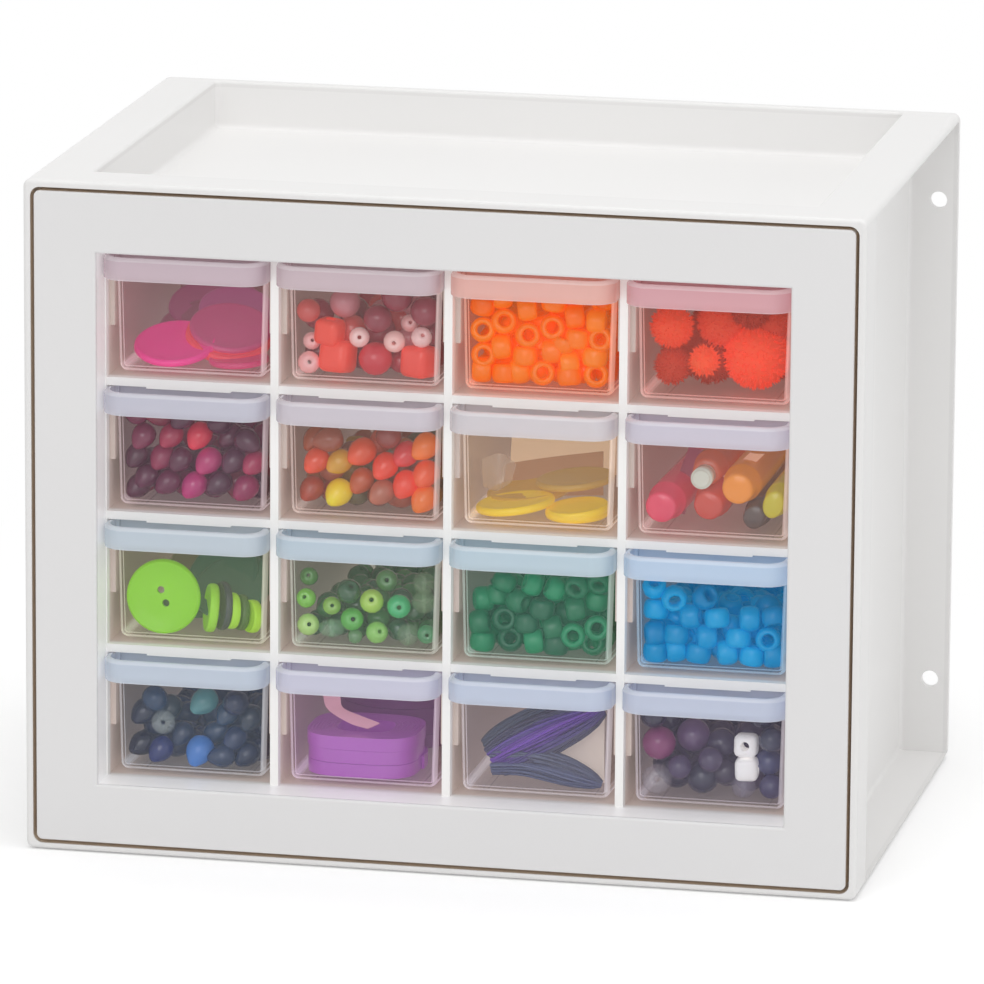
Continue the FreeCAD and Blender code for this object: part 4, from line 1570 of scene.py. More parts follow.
@dataclass
class Load:
    """One kind of piece in one drawer: those set one by one at the front and those that lie behind them."""

    room: Compartment
    kind: str
    shape: Shape
    finish: str
    front: tuple[Item, ...]
    palette: tuple[str, ...] = ()
    fill: int = 0
    fill_shape: Shape | None = None
    fill_size: tuple[float, float] = (0.95, 1.05)
    ball: float = 3.7
    reach: float = 120.0
    slope_deg: float = 10.0
    jitter_deg: float = 12.0
    tone: float = 0.1
    seed: int = 1
    pad: float = 0.0
    wall_gap: float = 0.2
    fill_seed_step: int = 100

    def set_front(self, kit: Kit) -> None:
        """Set the front pieces one by one, and note the places that they take.

        Args:
            kit: the shared tools and finishes.
        """
        rng = np.random.default_rng(self.seed)
        points, turns, sizes, paints = [], [], [], []
        taken = kit.taken.setdefault(self.room.label, [])
        for item in self.front:
            size = item.size if isinstance(item.size, tuple) else (item.size,) * 3
            radius = self.ball * max(size)
            behind = radius + self.wall_gap if item.behind is None else item.behind
            points.append(self.room.seen(item.x, item.z, behind))
            turns.append(self.turn(item.lean, rng))
            sizes.append(size)
            paints.append(self.shade(item.colour or self.pick(rng), rng))
            taken.append((*points[-1], radius))
        if points:
            self.make(kit, self.shape, self.kind, np.array(points), turns, sizes, paints)

    def set_behind(self, kit: Kit) -> None:
        """Let the rest of the load fall behind the front pieces.

        Args:
            kit: the shared tools and finishes.
        """
        if not self.fill:
            return
        rng = np.random.default_rng(self.seed + self.fill_seed_step)
        scale = rng.uniform(*self.fill_size, self.fill)
        taken = np.array(kit.taken[self.room.label]).reshape(-1, 4)
        loose = kit.settler.heap(
            self.room, taken[:, :3], taken[:, 3], scale * self.ball, self.reach, self.slope_deg, self.seed
        )
        turns = [self.turn(Lean.ANY, rng) for _ in loose]
        paints = [self.shade(self.pick(rng), rng) for _ in loose]
        sizes = [(s, s, s) for s in scale]
        self.make(kit, self.fill_shape or self.shape, self.kind + "_behind", loose, turns, sizes, paints)

    def pick(self, rng: np.random.Generator) -> str:
        """Pick a colour code from the palette."""
        return self.palette[int(rng.integers(len(self.palette)))]

    def shade(self, code: str, rng: np.random.Generator) -> tuple[float, float, float, float]:
        """Make a colour a little lighter or darker."""
        lighter = np.array(srgb(code)) * (1.0 + rng.uniform(-self.tone, self.tone))
        return (*np.clip(lighter, 0, 1), 1.0)

    def turn(self, lean: Lean | Point, rng: np.random.Generator) -> Point:
        """Turn a piece its own way, with a little play where its lean is a named one.

        Args:
            lean: a named lean, or the direction of the piece's axis.
            rng: the load's random numbers.

        Returns:
            The Euler angles.
        """
        if lean is Lean.ANY:
            axis = rng.normal(size=3)
        else:
            base = np.array(LEAN_AXES[lean] if isinstance(lean, Lean) else lean)
            play = math.radians(self.jitter_deg) if isinstance(lean, Lean) else 0.0
            axis = base / np.linalg.norm(base) + rng.normal(size=3) * play * 0.5
        spin = 0.0 if self.shape in (Shape.CUBE, Shape.BUTTON) else rng.uniform(0.0, 2 * math.pi)
        return axis_turn(tuple(axis), spin)

    def make(
        self, kit: Kit, shape: Shape, kind: str, points: np.ndarray, turns: list, sizes: list, paints: list
    ) -> None:
        """Make one piece from points and their turns, sizes and paints, and seat it in its drawer.

        Args:
            kit: the shared tools and finishes.
            shape: what stands on each point.
            kind: the first part of the piece's name.
            points: the places in the compartment, which move inside its walls.
            turns: the Euler angles at each point.
            sizes: the scale at each point.
            paints: the colour at each point.
        """
        name = f"{kind}_{self.room.label}"
        mesh = kit.mesh(shape)
        outline = np.array([v.co for v in mesh.vertices]) / MM
        for point, turn, size in zip(points, turns, sizes):
            turned = (outline * size) @ np.array(Euler(turn).to_matrix()).T + point
            point += self.room.shift_inside(turned + self.pad * np.sign(turned - point))
        cloud = bpy.data.meshes.new(name + "_cloud")
        cloud.vertices.add(len(points))
        cloud.vertices.foreach_set("co", self.room.in_frame(points).astype(np.float32).ravel())
        mark_points(cloud, "turn", "FLOAT_VECTOR", turns)
        mark_points(cloud, "size", "FLOAT_VECTOR", sizes)
        mark_points(cloud, "paint", "FLOAT_COLOR", paints)
        master = link_piece(name + "_master", mesh)
        carrier = link_piece(name + "_cloud", cloud)
        finish = kit.finishes[self.finish]
        piece = kit.grow(name, carrier, kit.trees.scatter, Piece=master, Finish=finish)
        bpy.data.objects.remove(master)
        kit.seat(self.complete(kit, piece), self.room)

    def complete(self, kit: Kit, piece: bpy.types.Object) -> bpy.types.Object:
        """Give back a plain load as it is; fluffy ones add to it here."""
        return piece


@dataclass
class PomPoms(Load):
    """Fluffy balls: scattered balls that a second tree covers with fibres."""

    pad: float = 1.6

    def complete(self, kit: Kit, piece: bpy.types.Object) -> bpy.types.Object:
        """Grow the fibres.

        Args:
            kit: the shared tools and finishes.
            piece: the plain balls, which are removed.

        Returns:
            The balls with their fibres.
        """
        name = piece.name
        piece.name = name + "_cores"
        return kit.grow(name, piece, kit.trees.fluff, Finish=kit.finishes[self.finish])


@dataclass
class TapeRoll:
    """Rolls of tape lying flat on each other, each wound in a rounded oblong."""

    room: Compartment
    name: str
    finish: str
    x: float
    behind: float
    half_width: float
    half_depth: float
    layers: int = 3
    layer_height: float = 4.4
    squareness: float = 3.4
    turns: int = 9
    core_share: float = 0.5
    steps: int = 56
    gap: float = 0.18
    floor_gap: float = 0.1
    layer_gap: float = 0.15
    layer_shrink: float = 0.012

    def build(self, kit: Kit) -> None:
        """Wind every roll as one long band.

        Args:
            kit: the shared tools and finishes.
        """
        points, faces = [], []
        for layer in range(self.layers):
            self.wind(layer, points, faces)
        mesh = bpy.data.meshes.new(self.name)
        mesh.from_pydata(self.room.in_frame(points).tolist(), [], faces)
        settle_surface(mesh)
        mesh.materials.append(kit.finishes[self.finish])
        kit.seat(link_piece(f"{self.name}_{self.room.label}", mesh), self.room)
        reach = min(self.half_width, self.half_depth)
        height = self.room.floor + self.layers * self.layer_height
        taken = kit.taken.setdefault(self.room.label, [])
        taken.append((self.x, self.room.front + self.behind, height - reach, reach))

    def wind(self, layer: int, points: list, faces: list) -> None:
        """Add one roll's band to the mesh data.

        Args:
            layer: the roll's place in the pile, from the floor.
            points: the points so far, which it adds to.
            faces: the faces so far, which it adds to.
        """
        count = self.turns * self.steps
        low = self.room.floor + self.floor_gap + layer * self.layer_height
        high = low + self.layer_height - self.layer_gap
        shrink = 1.0 - self.layer_shrink * (layer % 2)
        start = len(points)
        for i in range(count + 1):
            angle = 2 * math.pi * i / self.steps + layer
            share = 1.0 - (1.0 - self.core_share) * i / count
            inner = share - (1.0 - self.core_share) / self.turns * (1.0 - self.gap)
            for scale, z in ((share, low), (share, high), (inner, high), (inner, low)):
                x, y = self.oblong(angle, scale * shrink)
                points.append((self.x + x, self.room.front + self.behind + y, z))
            if i:
                a, b = start + 4 * (i - 1), start + 4 * i
                faces.extend((a + k, a + (k + 1) % 4, b + (k + 1) % 4, b + k) for k in range(4))
        faces.append(tuple(start + k for k in (3, 2, 1, 0)))
        faces.append(tuple(start + 4 * count + k for k in range(4)))

    def oblong(self, angle: float, scale: float) -> tuple[float, float]:
        """Find a point on the rounded oblong.

        Args:
            angle: the angle round it, in radians.
            scale: its size, as a share of the roll's.

        Returns:
            The point across and back from the roll's middle.
        """
        across, back = math.cos(angle), math.sin(angle)
        power = 2.0 / self.squareness
        x = math.copysign(abs(across) ** power, across) * self.half_width * scale
        y = math.copysign(abs(back) ** power, back) * self.half_depth * scale
        return x, y


@dataclass
class Card:
    """A bent strip or card between a low and a high edge, each given by where it shows."""

    room: Compartment
    name: str
    finish: str
    low: tuple[Point, ...]
    high: tuple[Point, ...]
    bulge: float = 0.6
    thickness: float = 0.5
    cells: int = 14

    def build(self, kit: Kit) -> None:
        """Make the card as a closed thin sheet.

        Args:
            kit: the shared tools and finishes.
        """
        row = self.cells + 1
        low, high = (
            smooth_line(np.array([self.room.seen(*stop) for stop in edge]), row)
            for edge in (self.low, self.high)
        )
        points = []
        for i in range(row):
            share = i / self.cells
            line = low * (1.0 - share) + high * share
            line[:, 1] -= self.bulge * math.sin(math.pi * share)
            points += line.tolist()
        faces = [
            (i * row + j, i * row + j + 1, (i + 1) * row + j + 1, (i + 1) * row + j)
            for i in range(self.cells)
            for j in range(self.cells)
        ]
        outline = np.array(points)
        outline += self.room.shift_inside(outline)
        mesh = bpy.data.meshes.new(self.name + "_sheet")
        mesh.from_pydata(self.room.in_frame(outline).tolist(), [], faces)
        mesh.materials.append(kit.finishes[self.finish])
        carrier = link_piece(self.name + "_sheet", mesh)
        modifier = carrier.modifiers.new("thickness", "SOLIDIFY")
        modifier.thickness = self.thickness * MM
        modifier.offset = 0.0
        piece = take_result(f"{self.name}_{self.room.label}", carrier)
        settle_surface(piece.data)
        kit.seat(piece, self.room)


def smooth_line(stops: np.ndarray, count: int) -> np.ndarray:
    """Run a smooth line through a few stops.

    Args:
        stops: the points that it passes through.
        count: the number of points to return.

    Returns:
        The points of the line.
    """
    ends = np.vstack((2 * stops[:1] - stops[1:2], stops, 2 * stops[-1:] - stops[-2:-1]))
    share = np.linspace(0.0, len(stops) - 1.0, count)
    low = np.minimum(share.astype(int), len(stops) - 2)
    t = (share - low)[:, None]
    a, b, c, d = (ends[low + k] for k in range(4))
    return 0.5 * (2 * b + (c - a) * t + (2 * a - 5 * b + 4 * c - d) * t**2 + (3 * b - a - 3 * c + d) * t**3)


@dataclass
class ThreadSkein:
    """A skein of embroidery thread: many strands side by side along a gentle curve."""

    room: Compartment
    name: str
    path: tuple[Point, ...]
    width: float
    thickness: float
    strands: int
    paint: tuple[str, ...]
    ends: tuple[float, float] = (0.75, 0.3)
    radius: float = 0.42
    wave: float = 0.35
    samples: int = 15
    seed: int = 43
    swell_power: float = 0.7
    least_reach: float = 0.15
    waves: tuple[float, float] = (3.0, 7.0)
    phase: float = 6.0
    tones: tuple[float, float] = (0.8, 1.25)

    def build(self, kit: Kit) -> None:
        """Lay the strands and spin them into threads.

        Args:
            kit: the shared tools and finishes.
        """
        rng = np.random.default_rng(self.seed)
        line = smooth_line(np.array([self.room.seen(*stop) for stop in self.path]), self.samples)
        along = np.gradient(line, axis=0)
        along /= np.linalg.norm(along, axis=1, keepdims=True)
        side = np.cross(along, (0.0, 1.0, 0.0))
        side /= np.linalg.norm(side, axis=1, keepdims=True)
        over = np.cross(side, along)
        middle = np.sin(np.linspace(0.0, math.pi, self.samples)) ** self.swell_power
        swell = np.linspace(*self.ends, self.samples) * (1.0 - middle) + middle
        points, edges, paints = [], [], []
        for _ in range(self.strands):
            angle = rng.uniform(0, 2 * math.pi)
            reach = math.sqrt(rng.uniform(self.least_reach, 1.0)) / 2
            across = reach * math.cos(angle)
            bends = np.linspace(0, rng.uniform(*self.waves), self.samples)
            drift = self.wave * np.sin(bends + rng.uniform(0, self.phase))
            strand = line + side * (across * self.width * swell + drift)[:, None]
            strand = strand + over * (reach * math.sin(angle) * self.thickness * swell)[:, None]
            base = len(points)
            points += strand.tolist()
            edges += [(base + i, base + i + 1) for i in range(self.samples - 1)]
            code = self.paint[min(len(self.paint) - 1, int((across + 0.5) * len(self.paint)))]
            tone = np.clip(np.array(srgb(code)) * rng.uniform(*self.tones), 0.0, 1.0)
            paints += [(*tone, 1.0)] * self.samples
        outline = np.array(points)
        outline += self.room.shift_inside(outline)
        mesh = bpy.data.meshes.new(self.name + "_lines")
        mesh.from_pydata(self.room.in_frame(outline).tolist(), edges, [])
        mark_points(mesh, "paint", "FLOAT_COLOR", paints)
        carrier = link_piece(self.name + "_lines", mesh)
        name = f"{self.name}_{self.room.label}"
        inputs = {"Thread_Radius": self.radius * MM, "Finish": kit.finishes["thread"]}
        kit.seat(kit.grow(name, carrier, kit.trees.thread, **inputs), self.room)


# The leans by short names, for the lists of loose pieces.
FACE, SIDE, UP, DOWN = Lean.FACING, Lean.ACROSS, Lean.UPRIGHT, Lean.TIP_DOWN


def first_row() -> Iterator[Load]:
    """Describe the first row: sequin discs, red beads, orange beads and pom-poms.

    Yields:
        Each kind of loose piece, in the order in which it is set.
    """
    orange = ("ff7c10", "ff8a1a", "ff8216", "ff740c")
    yield Load(
        Compartment(1, 1), "sequin_discs", Shape.DISC, "satin_disc",
        (
            Item(-6.0, 7.0, (0.0, -0.34, 1.0), "ff3aa0", (1.05, 1.05, 1.3), 13.6),
            Item(14.5, 6.6, (-0.04, -0.04, 1.0), "e0407c", (0.76, 0.76, 1.1), 10.0),
            Item(11.0, 13.8, (0.16, -0.42, 1.0), "ff4a5c", (1.1, 1.1, 1.7), 21.0),
            Item(11.5, 16.6, (0.16, -0.4, 1.0), "d2508a", (1.05, 1.05, 1.2), 23.0),
            Item(13.5, 22.5, (0.2, -0.4, 0.95), "c0609a", (1.0, 1.0, 1.0), 34.0),
            Item(-8.0, 18.0, (-0.1, -0.3, 1.0), "9c5a72", (1.25, 1.25, 1.0), 46.0),
            Item(6.0, 24.0, (0.1, -0.4, 1.0), "b25a86", (1.25, 1.25, 1.0), 58.0),
            Item(-6.0, 22.0, (0.0, -0.8, 0.7), "a0706e", (1.3, 1.3, 1.0), 74.0),
        ), tone=0.02,
    )
    yield Load(
        Compartment(1, 2), "cube_beads", Shape.CUBE, "bead_plastic",
        (
            Item(-8.8, 7.4, UP, "fb4a36", 1.36), Item(17.2, 7.8, UP, "f8493a", 1.34),
            Item(-11.4, 17.0, UP, "f5452e", 1.1),
        ), ball=4.2, seed=11, tone=0.02, jitter_deg=8.0,
    )
    yield Load(
        Compartment(1, 2), "pearl_beads", Shape.ROUND, "pearl_bead",
        (
            Item(-19.0, 6.8, FACE, "ffc2c4", 0.9), Item(-17.2, 13.8, FACE, "fbc8ca", 0.72, 7.5),
            Item(-2.0, 15.6, FACE, "ffd6d4", 0.82), Item(9.2, 14.8, FACE, "ffd0cc", 0.88),
            Item(17.8, 16.6, FACE, "fbd2d2", 0.84), Item(14.0, 21.0, FACE, "efb4b4", 0.72, 8.0),
        ), ball=4.0, seed=13, tone=0.02,
    )
    yield Load(
        Compartment(1, 2), "round_beads", Shape.BALL, "gloss_bead",
        (
            Item(3.2, 8.0, FACE, "d81f3a", 1.34), Item(-15.5, 22.5, FACE, "8c1838", 1.25, 12.0),
            Item(11.5, 23.0, FACE, "cf3a3e", 1.4, 20.0), Item(-4.0, 24.0, FACE, "7c2438", 1.25, 20.0),
            Item(20.0, 26.0, FACE, "6a2444", 1.3, 22.0),
        ),
        ("b32a44", "8d1f3c", "d4524e", "74203c", "c8808a"), fill=60,
        fill_size=(0.85, 1.35), ball=4.0, reach=90.0, slope_deg=9.0, seed=12, tone=0.06,
    )
    yield Load(
        Compartment(1, 3), "pony_beads", Shape.PONY, "bead_plastic",
        (
            Item(-19.2, 20.0, FACE), Item(-11.3, 23.0, FACE), Item(-3.7, 19.0, FACE), Item(4.2, 22.0, FACE),
            Item(-19.0, 12.2, FACE), Item(1.0, 6.0, FACE), Item(18.0, 6.0, FACE), Item(20.5, 19.0, FACE),
            Item(-18.8, 5.0, SIDE), Item(-11.0, 6.0, UP), Item(-12.0, 15.0, SIDE), Item(-4.5, 12.5, UP),
            Item(-6.2, 6.0, SIDE, behind=5.0), Item(4.0, 14.5, SIDE), Item(12.0, 18.8, UP),
            Item(11.0, 25.8, SIDE), Item(18.0, 24.6, SIDE), Item(17.5, 13.2, UP),
            Item(9.3, 11.0, SIDE, behind=4.6), Item(9.5, 4.8, UP), Item(-4.0, 27.5, SIDE),
            Item(-20.0, 28.0, UP), Item(4.5, 30.0, UP), Item(-12.0, 31.0, SIDE),
        ),
        orange, fill=250, fill_shape=Shape.PLAIN_PONY, slope_deg=8.0, seed=31, tone=0.05, reach=135.0,
    )
    yield PomPoms(
        Compartment(1, 4), "pom_poms", Shape.BALL, "fluff",
        (
            Item(-14.5, 24.0, FACE, "f4542e", 1.55), Item(2.5, 26.5, FACE, "e64c2c", 1.8, 12.0),
            Item(-13.0, 10.5, FACE, "cc4630", 1.3, 11.0), Item(-3.5, 13.6, FACE, "ff6034", 1.08),
            Item(13.6, 11.6, FACE, "ff5630", 2.45), Item(19.5, 27.5, FACE, "dc4a30", 1.5, 14.0),
        ),
        ("a8321e", "b83a24", "9c2e1c"), fill=20, fill_size=(1.4, 1.9), ball=4.0, slope_deg=9.0, seed=14,
        reach=110.0, tone=0.04,
    )


def second_row() -> Iterator[Load]:
    """Describe the second row: berry drops, orange drops, yellow discs and capped tubes.

    Yields:
        Each kind of loose piece, in the order in which it is set.
    """
    yield Load(
        Compartment(2, 1), "drop_beads", Shape.DROP, "drop_plastic",
        (
            Item(-16.0, 23.5, DOWN, "7a1c44", 0.86), Item(-7.0, 24.0, DOWN, "a51c44", 0.86),
            Item(2.0, 24.5, DOWN, "dc2440", 0.9), Item(5.0, 16.5, DOWN, "c22c74", 0.92),
            Item(13.0, 17.0, DOWN, "4a1838", 0.86), Item(20.0, 16.5, DOWN, "b42858", 0.84),
            Item(-10.0, 17.0, DOWN, "8c1c48", 0.88), Item(-4.0, 16.5, DOWN, "541638", 0.84),
            Item(0.4, 8.5, DOWN, "c22a7c", 0.9), Item(-15.0, 10.5, DOWN, "5a183e", 0.88),
            Item(-8.0, 9.0, DOWN, "641a42", 0.88), Item(8.5, 9.5, DOWN, "441636", 0.88),
            Item(17.0, 8.5, DOWN, "a0245c", 0.9), Item(-19.5, 17.0, DOWN, "44142e", 0.84),
            Item(-20.0, 6.5, DOWN, "4a1834", 0.84), Item(12.0, 25.0, DOWN, "5c1c3c", 0.86, 9.0),
        ),
        ("4a1834", "601a3e", "3a1430", "7a1e46", "84243c"), fill=86, ball=4.3, slope_deg=8.5, seed=21,
        reach=110.0, fill_size=(0.85, 0.95),
    )
    yield Load(
        Compartment(2, 2), "drop_beads", Shape.DROP, "drop_plastic",
        (
            Item(-15.5, 18.5, DOWN, "ee4a26", 0.88), Item(-8.0, 18.5, DOWN, "d8a01c", 0.86),
            Item(-1.0, 22.0, DOWN, "f0501f", 0.98), Item(6.5, 18.0, DOWN, "ee3a1e", 0.92),
            Item(13.0, 22.0, DOWN, "dc2f38", 0.9), Item(19.5, 25.0, DOWN, "ff7c1c", 0.94),
            Item(19.5, 16.0, DOWN, "f45a26", 0.94), Item(13.0, 12.5, DOWN, "ff3c1c", 0.94),
            Item(19.0, 8.2, DOWN, "fb7c22", 0.94), Item(-8.5, 8.5, DOWN, "ffe010", 0.96),
            Item(-17.0, 9.5, DOWN, "a8402c", 0.86, 7.0), Item(-1.0, 13.0, DOWN, "c8582c", 0.86, 6.4),
            Item(5.5, 9.5, DOWN, "b86a54", 0.88), Item(-16.0, 25.5, DOWN, "a85232", 0.86, 9.0),
            Item(5.0, 26.0, DOWN, "b04a34", 0.86, 10.0),
        ),
        ("a4543e", "b46a38", "8c4834", "a08232", "96403c", "646a50"), fill=80, ball=4.3, slope_deg=8.0,
        seed=22, reach=110.0, fill_size=(0.85, 0.95),
    )
    yield Load(
        Compartment(2, 3), "painted_discs", Shape.DISC, "satin_disc",
        (
            Item(-9.2, 7.2, (-0.13, -0.02, 1.0), "ffdc00", (1.0, 1.0, 1.4), 12.9),
            Item(12.6, 7.6, (-0.11, -0.06, 1.0), "ffdc00", (0.8, 0.8, 1.4), 10.4),
            Item(12.4, 4.4, (-0.03, -0.04, 1.0), "fbd400", (0.8, 0.8, 1.4), 10.2),
            Item(-3.0, 12.4, (-0.09, -0.05, 1.0), "dcae34", (1.05, 1.05, 1.2), 27.0),
            Item(12.0, 17.0, (-0.1, -0.03, 1.0), "c8a040", (1.0, 1.0, 1.2), 26.0),
        ), tone=0.02,
    )
    yield Load(
        Compartment(2, 4), "capped_tubes", Shape.TUBE, "gloss_bead",
        (
            Item(-17.0, 9.6, (-0.03, -1.0, -0.01), "f5436c", (0.98, 0.98, 1.2), 0.8),
            Item(-2.0, 21.6, (-0.01, -1.0, 0.02), "e06a44", (0.9, 0.9, 1.0), 9.0),
            Item(-3.9, 19.3, (-0.01, -1.0, 0.02), "dfe9dc", (0.54, 0.54, 0.07), 1.0),
            Item(-1.5, 11.0, (0.0, -1.0, 0.0), "d8402e", (0.92, 0.92, 1.1), 1.6),
            Item(7.6, 16.8, (0.0, -1.0, 0.01), "ff9c10", (0.98, 0.98, 1.1), 1.2),
            Item(19.0, 12.4, (0.02, -1.0, 0.03), "d2cc1c", (0.66, 0.9, 1.1), 2.0),
            Item(13.0, 6.6, (0.0, -1.0, 0.0), "4c4a48", (0.78, 0.7, 1.0), 4.0),
        ), tone=0.02, seed=24,
    )


def third_row() -> Iterator[Load]:
    """Describe the third row: lime buttons, green beads, dark green beads and cyan beads.

    Yields:
        Each kind of loose piece, in the order in which it is set.
    """
    cyan = ("0094ce", "009eda", "0086c2", "0aaae4")
    deep_green = ("0a7048", "0c8254", "085c3c", "0f8c5c")
    yield Load(
        Compartment(3, 1), "large_button", Shape.BUTTON, "satin_disc",
        (Item(-9.6, 12.2, (0.04, -1.0, 0.1), "8fdc14", (0.95, 0.95, 1.3), 2.4),), tone=0.0, seed=61,
    )
    yield Load(
        Compartment(3, 1), "plain_buttons", Shape.DISC, "satin_disc",
        (
            Item(5.6, 11.4, (-0.93, -0.36, 0.12), "a2e834", (0.62, 0.62, 1.6), 7.0),
            Item(9.4, 12.8, (-0.86, -0.5, 0.1), "36424c", (0.62, 0.62, 1.3), 7.6),
            Item(12.4, 11.4, (-0.86, -0.5, 0.1), "b2ee38", (0.46, 0.46, 1.5), 6.6),
            Item(15.4, 11.0, (-0.86, -0.5, 0.1), "4c7038", (0.46, 0.46, 1.3), 8.6),
            Item(19.0, 10.0, (-0.8, -0.6, 0.1), "b4ec30", (0.42, 0.42, 1.6), 6.2),
            Item(9.0, 22.0, (-0.25, -0.75, 0.6), "2f6a58", (1.0, 1.0, 1.2), 22.0),
            Item(12.5, 19.0, (-0.15, -0.6, 0.8), "3d6e5c", (1.05, 1.05, 1.2), 17.0),
            Item(13.5, 24.0, (-0.2, -0.5, 0.85), "2c5c50", (1.1, 1.1, 1.2), 36.0),
            Item(2.0, 15.0, (-0.1, -0.4, 1.0), "47745a", (1.05, 1.05, 1.2), 34.0),
            Item(-8.0, 20.0, (0.1, -0.5, 0.9), "7c7c62", (1.15, 1.15, 1.2), 60.0),
        ), tone=0.02, seed=62,
    )
    yield Load(
        Compartment(3, 2), "round_beads", Shape.ROUND, "glass_bead",
        (
            Item(-19.0, 8.5, FACE, "c2ee8a", 0.9), Item(-19.0, 17.0, FACE, "86d644", 0.8),
            Item(-18.0, 24.0, FACE, "5c9a48", 0.75, 8.0), Item(-10.5, 15.0, FACE, "96cc50", 0.75),
            Item(-4.0, 11.0, FACE, "5cc04c", 0.95), Item(2.3, 17.2, FACE, "bcea58", 0.98),
            Item(4.0, 7.2, FACE, "9ade6a", 0.9), Item(11.0, 16.0, FACE, "30c47a", 0.98),
            Item(20.0, 7.6, FACE, "4c9a68", 0.8), Item(7.0, 24.0, FACE, "5c9456", 0.9, 10.0),
            Item(-3.0, 4.8, SIDE, "6a9a6c", 0.6, 3.2),
        ),
        ("246a3c", "2f7846", "1c5834", "3c8648", "24624a"), fill=76, ball=4.0, slope_deg=8.5, seed=32,
        reach=110.0, fill_size=(0.8, 1.05), tone=0.08,
    )
    yield Load(
        Compartment(3, 2), "clear_beads", Shape.ROUND, "clear_bead",
        (
            Item(-10.5, 7.8, UP, "b6e8c4", (1.1, 1.1, 0.75), 4.6), Item(14.0, 6.6, UP, "a8c8a8", 0.9, 4.6),
            Item(19.0, 18.0, UP, "a6cc9c", 0.95, 4.6), Item(19.0, 24.0, UP, "9ab890", 0.9, 5.0),
        ), ball=4.0, seed=35,
    )
    yield Load(
        Compartment(3, 3), "pony_beads", Shape.PONY, "bead_plastic",
        (
            Item(-10.5, 14.0, FACE), Item(-8.5, 5.6, FACE), Item(11.5, 10.0, FACE), Item(19.0, 12.8, FACE),
            Item(18.0, 6.2, FACE, behind=5.4), Item(-19.0, 12.4, SIDE), Item(-18.5, 5.0, UP),
            Item(-1.0, 6.0, SIDE), Item(6.0, 4.8, UP), Item(5.0, 12.0, SIDE), Item(1.5, 18.0, UP),
            Item(-18.5, 20.0, SIDE, behind=8.0), Item(-12.5, 21.5, UP, behind=8.0), Item(12.0, 18.5, SIDE),
            Item(-3.5, 13.0, UP), Item(19.0, 21.8, UP, behind=7.0),
        ),
        deep_green, fill=190, fill_shape=Shape.PLAIN_PONY, slope_deg=7.5, seed=33, tone=0.08, reach=130.0,
    )
    yield Load(
        Compartment(3, 4), "pony_beads", Shape.PONY, "bead_plastic",
        (
            Item(-19.0, 5.0, UP), Item(-11.2, 5.0, SIDE), Item(-4.0, 5.0, UP), Item(5.0, 5.0, SIDE),
            Item(13.0, 5.0, UP), Item(20.0, 5.0, SIDE), Item(-18.5, 12.0, SIDE), Item(-11.0, 12.2, UP),
            Item(-1.5, 12.0, SIDE), Item(8.5, 12.0, UP), Item(18.0, 12.4, FACE),
            Item(-19.0, 20.0, UP, behind=6.0), Item(-6.5, 18.4, SIDE), Item(1.8, 18.2, UP),
            Item(12.0, 18.6, SIDE),
        ),
        cyan, fill=190, fill_shape=Shape.PLAIN_PONY, slope_deg=7.0, seed=34, tone=0.05, reach=130.0,
    )


